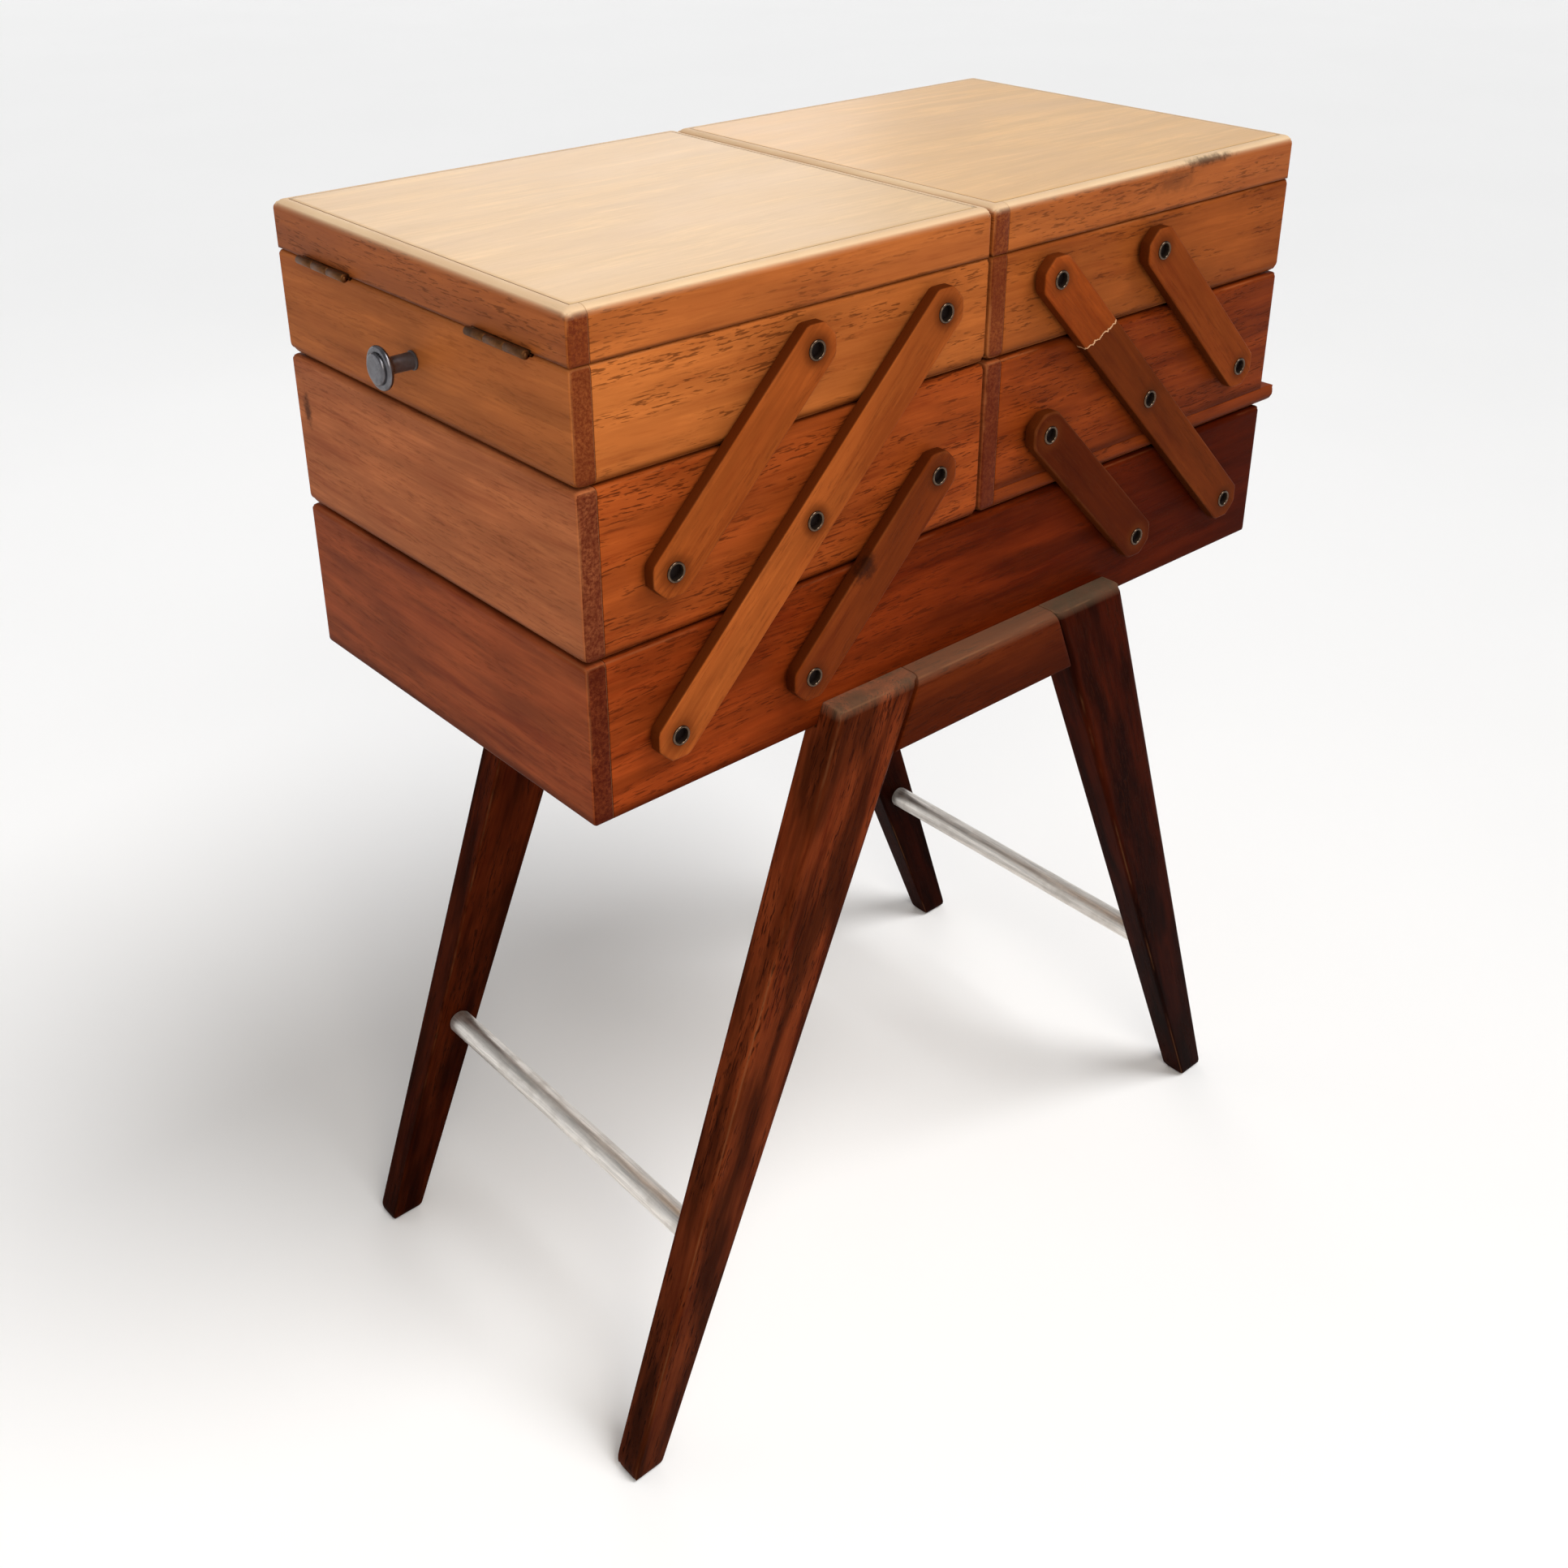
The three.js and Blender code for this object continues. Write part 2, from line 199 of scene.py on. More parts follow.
class SewingBoxSettings(bpy.types.PropertyGroup):
    """Everything that can be set on the sewing box"""
    edges: PointerProperty(type=EdgeSizes)
    fittings: PointerProperty(type=FittingSizes)
    woods: PointerProperty(type=WoodColours)
    metals: PointerProperty(type=MetalColours)
    stage: PointerProperty(type=StageSettings)


def settings():
    """The scene's settings of the sewing box."""
    return bpy.context.scene.sewing_box


# ---------------------------------------------------------------------------------------------
# Boxes
# ---------------------------------------------------------------------------------------------

def box(*nodes):
    """Lowest and highest corner of some CAD nodes together, as two arrays."""
    corners = np.array([[tuple(c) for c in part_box(node)] for node in nodes])
    return corners[:, 0].min(axis=0), corners[:, 1].max(axis=0)


# ---------------------------------------------------------------------------------------------
# Surfaces
# ---------------------------------------------------------------------------------------------

def face_outwards(mesh):
    """Turns the faces of closed surfaces to look outwards."""
    work = bmesh.new()
    work.from_mesh(mesh)
    bmesh.ops.recalc_face_normals(work, faces=work.faces)
    work.to_mesh(mesh)
    work.free()


def add_piece(name, node, points, faces, values, material, body=None):
    """Puts a surface in the scene as one piece that rides on the CAD node's body and stands for it.

    values maps an attribute's name to one number, or one vector, for each point."""
    mesh = bpy.data.meshes.new(name)
    mesh.from_pydata(np.asarray(points, dtype=float).tolist(), [], [list(map(int, face)) for face in faces])
    face_outwards(mesh)
    mesh.polygons.foreach_set("use_smooth", np.ones(len(mesh.polygons), dtype=bool))
    mesh.set_sharp_from_angle(angle=SHARP_FOLD)
    for key, value in values.items():
        value = np.asarray(value, dtype=float)
        if value.ndim == 2:
            mesh.attributes.new(key, "FLOAT_VECTOR", "POINT").data.foreach_set("vector", value.ravel())
        else:
            mesh.attributes.new(key, "FLOAT", "POINT").data.foreach_set("value", value)
    mesh.materials.append(material)
    mesh.update()
    piece = bpy.data.objects.new(name, mesh)
    bpy.context.collection.objects.link(piece)
    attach(piece, body or NODE_BODY[node])
    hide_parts(node)
    return piece


def carve(xs, ys, zs, solid):
    """Skin of the filled cells of a grid of blocks.

    xs, ys and zs are the sorted grid planes, and solid says which cells between them are wood. A face
    stands wherever a filled cell meets an empty one, and faces share their corners. Returns points and
    quads that face outwards."""
    size = (len(xs), len(ys), len(zs))
    quads = []
    for axis in range(3):
        u, v = (axis + 1) % 3, (axis + 2) % 3
        pad = [(0, 0)] * 3
        pad[axis] = (1, 1)
        filled = np.pad(solid, pad)
        below = np.take(filled, range(0, size[axis]), axis=axis)
        above = np.take(filled, range(1, size[axis] + 1), axis=axis)
        for mask, outward in ((below & ~above, True), (above & ~below, False)):
            cell = np.argwhere(mask)
            steps = [(0, 0), (1, 0), (1, 1), (0, 1)] if outward else [(0, 0), (0, 1), (1, 1), (1, 0)]
            corners = []
            for du, dv in steps:
                corner = cell.copy()
                corner[:, u] += du
                corner[:, v] += dv
                corners.append(np.ravel_multi_index(corner.T, size))
            quads.append(np.stack(corners, axis=1))
    quads = np.concatenate(quads)
    used, index = np.unique(quads, return_inverse=True)
    i, j, k = np.unravel_index(used, size)
    points = np.stack([np.asarray(xs)[i], np.asarray(ys)[j], np.asarray(zs)[k]], axis=1)
    return points, index.reshape(quads.shape)


def depth(points, face, low, high):
    """Distance of each point from one face of a box, counted inwards."""
    axis, side = face
    return points[:, axis] - low[axis] if side < 0 else high[axis] - points[:, axis]


def arc_lines(radius):
    """Depths of the grid planes that a rounding needs: they land at even angles round the arc."""
    steps = 1 if radius < 0.6 * MM else 3
    angles = np.arange(steps + 1) * math.pi / 4 / steps
    return radius * (1 - np.tan(angles))


def round_edges(points, low, high, radii):
    """Rounds the edges of a box. radii maps a pair of faces to the radius of the edge between them.

    In the square prism along an edge, a point's offset from the arc's centre line is shrunk by the
    larger of its two parts over its length, which carries the square's rim onto the quarter circle."""
    for (a, b), radius in radii.items():
        u = radius - depth(points, a, low, high)
        v = radius - depth(points, b, low, high)
        near = (u > 0) & (v > 0)
        shrink = np.ones(len(points))
        shrink[near] = np.maximum(u, v)[near] / np.hypot(u, v)[near]
        for (axis, side), offset in ((a, u), (b, v)):
            points[:, axis] += side * np.where(near, offset * (shrink - 1), 0)
    return points


def grid_lines(low, high, axis, radii, cuts, spacing):
    """Sorted grid planes along an axis: the two ends, a guard line close to each, the roundings, the
    cuts and even steps."""
    lines = [low[axis], high[axis]]
    for pair, radius in radii.items():
        for face_axis, side in pair:
            if face_axis == axis:
                start = low[axis] if side < 0 else high[axis]
                lines.extend(start - side * arc_lines(radius))
    for cut_low, cut_high in cuts:
        lines.extend(c for c in (cut_low[axis], cut_high[axis]) if low[axis] < c < high[axis])
    if high[axis] - low[axis] > 4 * GUARD:
        lines.extend((low[axis] + GUARD, high[axis] - GUARD))
    count = max(2, int((high[axis] - low[axis]) / spacing))
    keep = np.unique(np.round(lines, 6))
    for value in np.linspace(low[axis], high[axis], count + 1)[1:-1]:
        if np.min(np.abs(keep - value)) > 1.5 * MM:
            keep = np.append(keep, value)
    return np.sort(keep)


def board_surface(low, high, radii, cuts=(), spacing=0.03):
    """A block with eased edges and with boxes cut out of it. Returns points, quads and the depths of
    each point below the block's faces before any edge was eased."""
    planes = [grid_lines(low, high, axis, radii, cuts, spacing) for axis in range(3)]
    middles = [(p[:-1] + p[1:]) / 2 for p in planes]
    x, y, z = np.meshgrid(*middles, indexing="ij")
    solid = np.ones(x.shape, dtype=bool)
    for cut_low, cut_high in cuts:
        inside = np.ones(x.shape, dtype=bool)
        for value, a, b in zip((x, y, z), cut_low, cut_high):
            inside &= (value > a) & (value < b)
        solid &= ~inside
    points, quads = carve(*planes, solid)
    depths = {face: depth(points, face, low, high) for face in FACES}
    return round_edges(points.copy(), low, high, radii), quads, depths


def seed(name):
    """A steady number from 0 to 1 for a piece, from the letters of its name."""
    value = 0
    for letter in name:
        value = (value * 131 + ord(letter)) % 99991
    return value / 99991


# Lightness of single pieces against that of their tier: partly how boards and arms took up the staining
# differently, partly painted light and shade, lighter on the left ends and at the front and darker to the
# right, the rear and low down.
TONES_AND_SHADE = {
    "lid_right_veneered": 1.0, "lid_left_veneered": 0.98, "lid_left_front": 1.12, "lid_left_left": 0.95,
    "top_right": 0.93, "top_left_left": 0.85, "middle_right": 0.93, "middle_left_left": 1.1,
    "bottom_front": 0.72, "bottom_left": 1.12, "bottom_right": 0.8,
    "arm_long_left": 1.0, "arm_upper_left": 0.80, "arm_lower_left": 0.46,
    "arm_long_right": 0.62, "arm_upper_right": 0.74, "arm_lower_right": 0.22,
    "leg_left_front": 1.5, "leg_left_rear": 0.72, "leg_right": 0.48, "rail": 0.72,
}
# How fast each piece darkens to the right, for each metre: painted shade of light falling from the left
SHADE_SLOPES = {"bottom_front": 4.0, "lid": 0.0}
SATURATION = (1.0, 1.35, 1.7)


def tone_of(name):
    """How light a piece is: near 1, a little different on each piece, and set by the table of tones and
    painted light above.
    """
    tone = 0.95 + 0.10 * seed(name)
    for start, factor in TONES_AND_SHADE.items():
        if name.startswith(start):
            tone *= factor
    return tone


def stain(name, points, factor=1.0):
    """Colour that multiplies the wood at each point: the piece's tone times painted shade, which is
    lightest at the box's left end and darkens to the right, by a constant share for each metre: the
    exponential of minus the slope times x. Each channel is the lightness to its own power, so that darker
    wood is redder too."""
    slope = next((value for start, value in SHADE_SLOPES.items() if name.startswith(start)), 1.0)
    lightness = tone_of(name) * factor * np.exp(-slope * points[:, 0])
    return lightness[:, None] ** np.array(SATURATION)


def grain_coordinates(name, points, along, across):
    """Each point's place along the grain, across it and through the thickness, shifted for each piece
    so that no two boards show the same figure."""
    along = np.asarray(along, dtype=float)
    across = np.asarray(across, dtype=float)
    basis = np.stack([along, across, np.cross(along, across)], axis=1)
    number = seed(name)
    return points @ basis + np.array([number * 7.1, number * 3.3, number * 5.7])


def wood_values(name, points, depths, along, across, radii, end_faces=(), raw_faces=(), low_face=None):
    """Attributes that the wood finishes read, for a block whose points lie at these depths.

    edge and foot are distances in millimetres, to the nearest exposed edge and up from the underside,
    so that they stay true between the points. An edge counts as exposed if its radius is more than a
    joint's. end_grain and raw are 1 on the faces of that kind."""
    flat = np.zeros(len(points))
    edge = flat + FAR_OFF
    for (a, b), radius in radii.items():
        if radius > 1.4 * settings().edges.joint:
            edge = np.minimum(edge, np.maximum(depths[a], depths[b]) / MM)
    end = np.max([depths[face] < TOUCH for face in end_faces], axis=0) if end_faces else flat
    raw = np.max([depths[face] < TOUCH for face in raw_faces], axis=0) if raw_faces else flat
    return {
        "grain": grain_coordinates(name, points, along, across),
        "tone": stain(name, points),
        "edge": edge,
        "foot": depths[low_face] / MM if low_face else flat + FAR_OFF,
        "end_grain": end,
        "raw": raw,
        "bleach": flat,
    }


def add_board(name, node, low, high, radii, material, along, raw_faces=(), cuts=(), low_face=None,
              bleached=0.0, seam=False):
    """One board, with its grain along an axis and end grain on the two faces across it.

    bleached is how far down from its top the board is worn pale: one less the depth over that length,
    to a power. seam says that dirt lines the board's four upright faces."""
    points, quads, depths = board_surface(low, high, radii, cuts)
    thin = int(np.argmin(high - low))
    across = next(axis for axis in range(3) if axis not in (along, thin))
    axes = np.eye(3)
    values = wood_values(name, points, depths, axes[along], axes[across], radii,
                         [(along, -1), (along, 1)], raw_faces, low_face)
    if seam:
        from_side = np.min([depths[face] for face in FACES if face[0] < 2], axis=0)
        values["foot"] = from_side / MM * SEAM_SHARPNESS
    if bleached:
        values["foot"] = values["foot"] * RIM_SHARPNESS
        values["bleach"] = np.clip(1 - depths[(2, 1)] / bleached, 0, 1) ** BLEACH_POWER
    return add_piece(name, node, points, quads, values, material)


def lathe(profile, origin, axis, segments=48):
    """A turned surface: each (radius, height) of the profile is carried round an axis by the angle.

    A profile that starts and ends at radius zero closes at a single point there."""
    axis = np.asarray(axis, dtype=float)
    side = np.array([0.0, 0.0, 1.0]) if abs(axis[2]) < 0.9 else np.array([1.0, 0.0, 0.0])
    up = np.cross(axis, side)
    radius, height = np.asarray(profile, dtype=float).T
    angle = np.arange(segments) * 2 * math.pi / segments
    ring = np.cos(angle)[:, None] * side + np.sin(angle)[:, None] * up
    rings = radius[:, None, None] * ring[None] + height[:, None, None] * axis + np.asarray(origin)
    count = len(radius)
    index = np.arange(count * segments).reshape(count, segments)
    for row in (0, count - 1):
        if radius[row] == 0:
            index[row] = index[row, 0]
    a, b = index[:-1], index[1:]
    quads = np.stack([a, np.roll(a, -1, axis=1), np.roll(b, -1, axis=1), b], axis=-1).reshape(-1, 4)
    faces = [list(dict.fromkeys(quad)) for quad in quads.tolist()]
    points = rings.reshape(-1, 3)
    used, packed = np.unique(np.concatenate(faces), return_inverse=True)
    sizes = [len(face) for face in faces]
    split = np.split(packed, np.cumsum(sizes)[:-1])
    return points[used], split


def join_surfaces(*surfaces):
    """Several closed surfaces as one list of points and faces."""
    points, faces, start = [], [], 0
    for surface_points, surface_faces in surfaces:
        points.append(surface_points)
        faces.extend(np.asarray(face) + start for face in surface_faces)
        start += len(surface_points)
    return np.concatenate(points), faces


def arc(centre_r, centre_h, radius, start, stop, steps=5):
    """Points of an arc in a lathe profile, from one angle in degrees to another."""
    angle = np.radians(np.linspace(start, stop, steps))
    return [(centre_r + radius * math.cos(t), centre_h + radius * math.sin(t)) for t in angle]


# ---------------------------------------------------------------------------------------------
# Material graphs
# ---------------------------------------------------------------------------------------------

class Graph:
    """Builds a material's nodes: a value is a number, a colour or another node's output."""

    def __init__(self, name):
        """Starts a material with one shader joined to its output."""
        self.material = bpy.data.materials.new(name)
        self.material.use_nodes = True
        self.tree = self.material.node_tree
        self.tree.nodes.clear()
        self.shader = self.tree.nodes.new("ShaderNodeBsdfPrincipled")
        output = self.tree.nodes.new("ShaderNodeOutputMaterial")
        self.tree.links.new(self.shader.outputs[0], output.inputs[0])

    def put(self, socket, value):
        """Links a node's output to a socket, or sets the socket's own value."""
        if isinstance(value, bpy.types.NodeSocket):
            self.tree.links.new(value, socket)
        elif socket.type == "RGBA" and len(value) == 3:
            socket.default_value = (*value, 1)
        else:
            socket.default_value = value

    def attribute(self, name, vector=False):
        """Value of one of the mesh's attributes."""
        node = self.tree.nodes.new("ShaderNodeAttribute")
        node.attribute_name = name
        return node.outputs["Vector" if vector else "Fac"]

    def object_coordinates(self):
        """Place in the frame's metres, since each piece sits at the origin."""
        return self.tree.nodes.new("ShaderNodeTexCoord").outputs["Object"]

    def vector(self, operation, a, b, output="Vector"):
        """One sum on two vectors."""
        node = self.tree.nodes.new("ShaderNodeVectorMath")
        node.operation = operation
        self.put(node.inputs[0], a)
        self.put(node.inputs[1], b)
        return node.outputs[output]

    def scaled(self, coordinates, scale):
        """Coordinates times a scale for each axis."""
        return self.vector("MULTIPLY", coordinates, scale)

    def noise(self, coordinates, scale, detail=2, roughness=0.5, colour_output=False):
        """Cloudy noise with so many patches to a metre on each axis."""
        node = self.tree.nodes.new("ShaderNodeTexNoise")
        self.put(node.inputs["Vector"], self.scaled(coordinates, scale))
        node.inputs["Scale"].default_value = 1
        node.inputs["Detail"].default_value = detail
        node.inputs["Roughness"].default_value = roughness
        return node.outputs["Color" if colour_output else "Fac"]

    def math(self, operation, a, b=0.0, clamp=False):
        """One sum on two numbers."""
        node = self.tree.nodes.new("ShaderNodeMath")
        node.operation = operation
        node.use_clamp = clamp
        self.put(node.inputs[0], a)
        self.put(node.inputs[1], b)
        return node.outputs[0]

    def ease(self, value, low, high, to_low=0.0, to_high=1.0):
        """Smooth step from low to high."""
        node = self.tree.nodes.new("ShaderNodeMapRange")
        node.interpolation_type = "SMOOTHSTEP"
        self.put(node.inputs["Value"], value)
        node.inputs["From Min"].default_value = low
        node.inputs["From Max"].default_value = high
        node.inputs["To Min"].default_value = to_low
        node.inputs["To Max"].default_value = to_high
        return node.outputs["Result"]

    def mix(self, factor, a, b, blend="MIX"):
        """Colour a carried towards b, or multiplied by it."""
        node = self.tree.nodes.new("ShaderNodeMix")
        node.data_type = "RGBA"
        node.blend_type = blend
        self.put(node.inputs["Factor"], factor)
        self.put(node.inputs["A"], a)
        self.put(node.inputs["B"], b)
        return node.outputs["Result"]

    def ramp(self, value, *stops):
        """Colour between (place, colour) stops, eased."""
        node = self.tree.nodes.new("ShaderNodeValToRGB")
        node.color_ramp.interpolation = "EASE"
        while len(node.color_ramp.elements) < len(stops):
            node.color_ramp.elements.new(0.5)
        for element, (position, stop) in zip(node.color_ramp.elements, stops):
            element.position = position
            element.color = (*stop, 1)
        self.put(node.inputs[0], value)
        return node.outputs["Color"]

    def bump(self, height, distance, strength):
        """Fine relief from a height."""
        node = self.tree.nodes.new("ShaderNodeBump")
        node.inputs["Distance"].default_value = distance
        node.inputs["Strength"].default_value = strength
        self.put(node.inputs["Height"], height)
        self.put(self.shader.inputs["Normal"], node.outputs[0])

    def set(self, **values):
        """Sets or links the shader's sockets and returns the material."""
        names = {"base": "Base Color", "roughness": "Roughness", "metallic": "Metallic",
                 "coat": "Coat Weight", "coat_roughness": "Coat Roughness", "ior": "IOR",
                 "specular": "Specular IOR Level", "specular_tint": "Specular Tint"}
        for key, value in values.items():
            self.put(self.shader.inputs[names[key]], value)
        return self.material


def shade(tint, factor):
    """A colour made lighter or darker: each channel times the factor, at most 1."""
    return tuple(min(1.0, channel * factor) for channel in tint)


def blend(a, b, factor):
    """A colour part of the way from a to b."""
    return tuple(x + (y - x) * factor for x, y in zip(a, b))


# ---------------------------------------------------------------------------------------------
# Finishes
# ---------------------------------------------------------------------------------------------

RAW_WOOD = (0.50, 0.29, 0.13)
DULL_WOOD = (0.35, 0.16, 0.07)
PORE = (0.020, 0.005, 0.002)
CRACK_PALE = (0.60, 0.34, 0.18)
WARM_GLOSS = (1.0, 0.66, 0.42)
PALE_WEAR_AND_HIGHLIGHT_COLOUR = (0.75, 0.545, 0.34)
LID_GOLDEN = (1.08, 1.0, 0.87)
CRACK_SLANT = -0.4
FINISHES = {}


# Layers of a wood's figure: patches to a metre along the grain, across it and through it, the number of
# finer layers on top, and how rough they are
WOOD_LAYERS = {
    "bands": ((6, 110, 110), 3, 0.6),
    "streaks": ((24, 340, 340), 3, 0.6),
    "fibres": ((30, 700, 700), 4, 0.7),
    "patches": ((14, 34, 34), 4, 0.62),
    "tongues": ((13, 85, 85), 3, 0.55),
    "dashes": ((120, 1100, 1100), 2, 0.6),
    "zones": ((16, 95, 95), 3, 0.5),
}
FIGURE_WEIGHTS = {"bands": 0.30, "streaks": 0.15, "fibres": 0.25, "patches": 0.30}


def wood_finish(name, tint, contrast=0.5, pores=0.5, figure=1.0, flame=0.12, gloss=0.42, shine=0.025,
                coat=0.0, stains=(), crack=None, rubbed=0.35, fade=None,
                grime=(0.55, 0.92)):
    """Stained oak: broad bands and fine fibres stretched along the grain, clumps of dark open pores,
    dark end grain, painted shade with some dirt darkening the wood near each foot, edges paler from
    wear and a painted highlight, and plain wood on the inside faces. flame is the strength of long
    light and dark tongues.

    stains are (place, radii, strength) marks in the frame's coordinates. crack is a place along the
    grain where a jagged pale break runs across the piece, with darker wood before it and lighter wood
    beyond. The argument after crack sets how strongly the edges are drawn paler, for wear and a painted
    highlight. fade is a height and a strength: below that height the wood gets darker down to the floor.
    The last argument is the least and the most darkening at a foot: painted shade, with some dirt."""
    g = Graph(name)
    grain = g.attribute("grain", vector=True)
    wander = g.noise(grain, (5, 16, 16), detail=2, colour_output=True)
    wander = g.scaled(g.vector("SUBTRACT", wander, (0.5, 0.5, 0.5)), (0, 0.012 * figure, 0.012 * figure))
    grain = g.vector("ADD", grain, wander)
    layer = {key: g.noise(grain, *sizes) for key, sizes in WOOD_LAYERS.items()}
    fibres = layer["fibres"]
    patches = layer["patches"]
    dashes = g.ease(layer["dashes"], 0.545, 0.615)
    zones = g.ease(layer["zones"], 0.40, 0.56)
    pore = g.math("MULTIPLY", g.math("MULTIPLY", dashes, zones), pores)
    value = 0.0
    for key, weight in FIGURE_WEIGHTS.items():
        value = g.math("ADD", value, g.math("MULTIPLY", layer[key], weight))
    dark = tuple(c * (1 - k * contrast) for c, k in zip(tint, (0.62, 0.85, 0.90)))
    middle = blend(tint, dark, 0.35)
    base = g.ramp(g.ease(value, 0.36, 0.64), (0.0, dark), (0.5, middle), (1.0, shade(tint, 1.10)))
    base = g.mix(1.0, base, g.attribute("tone", vector=True), "MULTIPLY")
    base = g.mix(1.0, base, g.ease(layer["tongues"], 0.34, 0.66, 1 - flame, 1 + flame), "MULTIPLY")
    base = g.mix(g.math("MULTIPLY", pore, 0.85), base, blend(dark, PORE, 0.7))
    # Darker towards the floor, below the given height
    if fade:
        height = g.vector("DOT_PRODUCT", g.object_coordinates(), (0, 0, 1), output="Value")
        height = g.math("ADD", height, g.math("MULTIPLY", patches, 0.12))
        base = g.mix(1.0, base, g.ease(height, 0.05, fade[0], fade[1], 1.0), "MULTIPLY")
    # Darker near each foot: painted shadow under the trays' rounded bottoms and in the gap below the lids,
    # painted shade on the arms' sides and round the rivets with some dirt, and dirt in the joint round a
    # lid panel
    shade_and_dirt = g.ease(g.attribute("foot"), 1.0, 6.5, 1, 0)
    shade_and_dirt = g.math("MULTIPLY", shade_and_dirt, g.ease(patches, 0.3, 0.6, *grime))
    base = g.mix(shade_and_dirt, base, shade(dark, 0.42))
    end = g.math("MULTIPLY", g.attribute("end_grain"), g.ease(fibres, 0.3, 0.7, 0.98, 0.60))
    base = g.mix(end, base, tuple(c * k for c, k in zip(dark, (0.42, 0.27, 0.35))))
    # Paler along the exposed edges: wear, and a painted highlight on the roundings
    edge_wear_and_highlight = g.math("MULTIPLY", g.ease(g.attribute("edge"), 0.1, 1.3, 1, 0), g.ease(patches, 0.46, 0.60))
    edge_wear_and_highlight = g.math("MULTIPLY", edge_wear_and_highlight, rubbed)
    base = g.mix(edge_wear_and_highlight, base, blend(shade(tint, 1.3), RAW_WOOD, 0.25))
    # Pale near the top: wear on the lid rims, and wear with a painted highlight on the legs and rails
    pale = g.math("MULTIPLY", g.attribute("bleach"), g.ease(patches, 0.3, 0.6, 1.0, 0.85))
    base = g.mix(pale, base, PALE_WEAR_AND_HIGHLIGHT_COLOUR)
    raw = g.math("MULTIPLY", g.attribute("raw"), 0.62)
    base = g.mix(raw, base, RAW_WOOD)
    height = g.math("SUBTRACT", g.math("MULTIPLY", fibres, 0.35), pore)
    if stains:
        place = g.object_coordinates()
        speckle = g.noise(place, (260, 260, 260), detail=3, roughness=0.65)
        for spot, radius, strength in stains:
            away = g.scaled(g.vector("SUBTRACT", place, tuple(spot)), tuple(1 / r for r in radius))
            away = g.vector("LENGTH", away, (0, 0, 0), output="Value")
            away = g.math("ADD", away, g.math("MULTIPLY", g.math("SUBTRACT", speckle, 0.5), 1.4))
            mark = g.ease(away, 0.2, 1.0, strength, 0)
            base = g.mix(mark, base, PORE)
    if crack is not None:
        spread = g.vector("DOT_PRODUCT", grain, (1, 0, CRACK_SLANT), output="Value")
        jag = g.noise(grain, (60, 300, 300), detail=3, roughness=0.6)
        spread = g.math("ADD", g.math("SUBTRACT", spread, crack), g.math("MULTIPLY", jag, 0.007))
        base = g.mix(1.0, base, g.ease(spread, 0, 0.001, 0.75, 1.4), "MULTIPLY")
        line = g.ease(g.math("ABSOLUTE", spread), 0.0001, 0.0006, 1, 0)
        base = g.mix(line, base, CRACK_PALE)
        height = g.math("ADD", height, g.math("MULTIPLY", line, 0.8))
    rough = g.math("ADD", g.math("MULTIPLY", patches, 0.16), g.math("MULTIPLY", g.attribute("raw"), 0.2))
    rough = g.math("ADD", rough, g.math("MULTIPLY", pore, 0.15))
    rough = g.math("ADD", rough, gloss - 0.08, clamp=True)
    g.bump(height, 0.25 * MM, 0.30)
    return g.set(base=base, roughness=rough, specular=shine, specular_tint=WARM_GLOSS,
                 coat=coat, coat_roughness=0.24, ior=1.5)


def metal_finish(name, tint, streak, roughness, tarnish, dirt):
    """Plated or bare metal: fine streaks scaled by streak, tarnished clouds, and the given dark colour
    where the bore attribute says that the surface is hidden away: painted shade in the rivets' hollows, and
    darker near the knobs' feet and the rods' ends."""
    g = Graph(name)
    place = g.object_coordinates()
    streaks = g.noise(place, streak, detail=3, roughness=0.6)
    clouds = g.noise(place, (70, 70, 70), detail=4, roughness=0.62)
    specks = g.ease(g.noise(place, (900, 900, 900), detail=2), 0.62, 0.72)
    base = g.mix(g.ease(streaks, 0.3, 0.7), shade(tint, 0.82), shade(tint, 1.15))
    shade_and_dirt = g.math("MULTIPLY", g.ease(clouds, 0.46, 0.72), dirt)
    shade_and_dirt = g.math("MAXIMUM", shade_and_dirt, g.math("MULTIPLY", specks, dirt * 0.6))
    # Dark where hidden away: painted shade in the rivets' hollows; the knobs' feet and the rods' ends are
    # darker too
    shade_and_dirt = g.math("MAXIMUM", shade_and_dirt, g.attribute("bore"), clamp=True)
    base = g.mix(shade_and_dirt, base, tarnish)
    rough = g.math("ADD", g.math("MULTIPLY", streaks, 0.18), roughness - 0.09)
    rough = g.math("ADD", rough, g.math("MULTIPLY", shade_and_dirt, 0.3), clamp=True)
    g.bump(streaks, 0.08 * MM, 0.25)
    metallic = g.math("SUBTRACT", 1.0, g.math("MULTIPLY", shade_and_dirt, 0.6))
    return g.set(base=base, roughness=rough, metallic=metallic, specular=0.12)


def floor_finish(tint):
    """Plain pale floor with a barely visible mottle."""
    g = Graph("pale_floor")
    mottle = g.noise(g.object_coordinates(), (3, 3, 3), detail=2)
    base = g.mix(g.ease(mottle, 0.3, 0.7), shade(tint, 0.99), tint)
    return g.set(base=base, roughness=0.85)


def finish(key):
    """The finish with this key, made the first time it is asked for."""
    if key not in FINISHES:
        FINISHES[key] = FINISH_MAKERS[key]()
    return FINISHES[key]


def wood_colour(name):
    """One of the woods' colours that the user can set."""
    return tuple(getattr(settings().woods, name))


def tier_finish(key, tint_name, dulled=0.0, **choices):
    """A maker of the finish for one tier. dulled is how far its colour is drawn towards a dull brown."""
    return lambda: wood_finish(f"{key}_oak", blend(wood_colour(tint_name), DULL_WOOD, dulled), **choices)


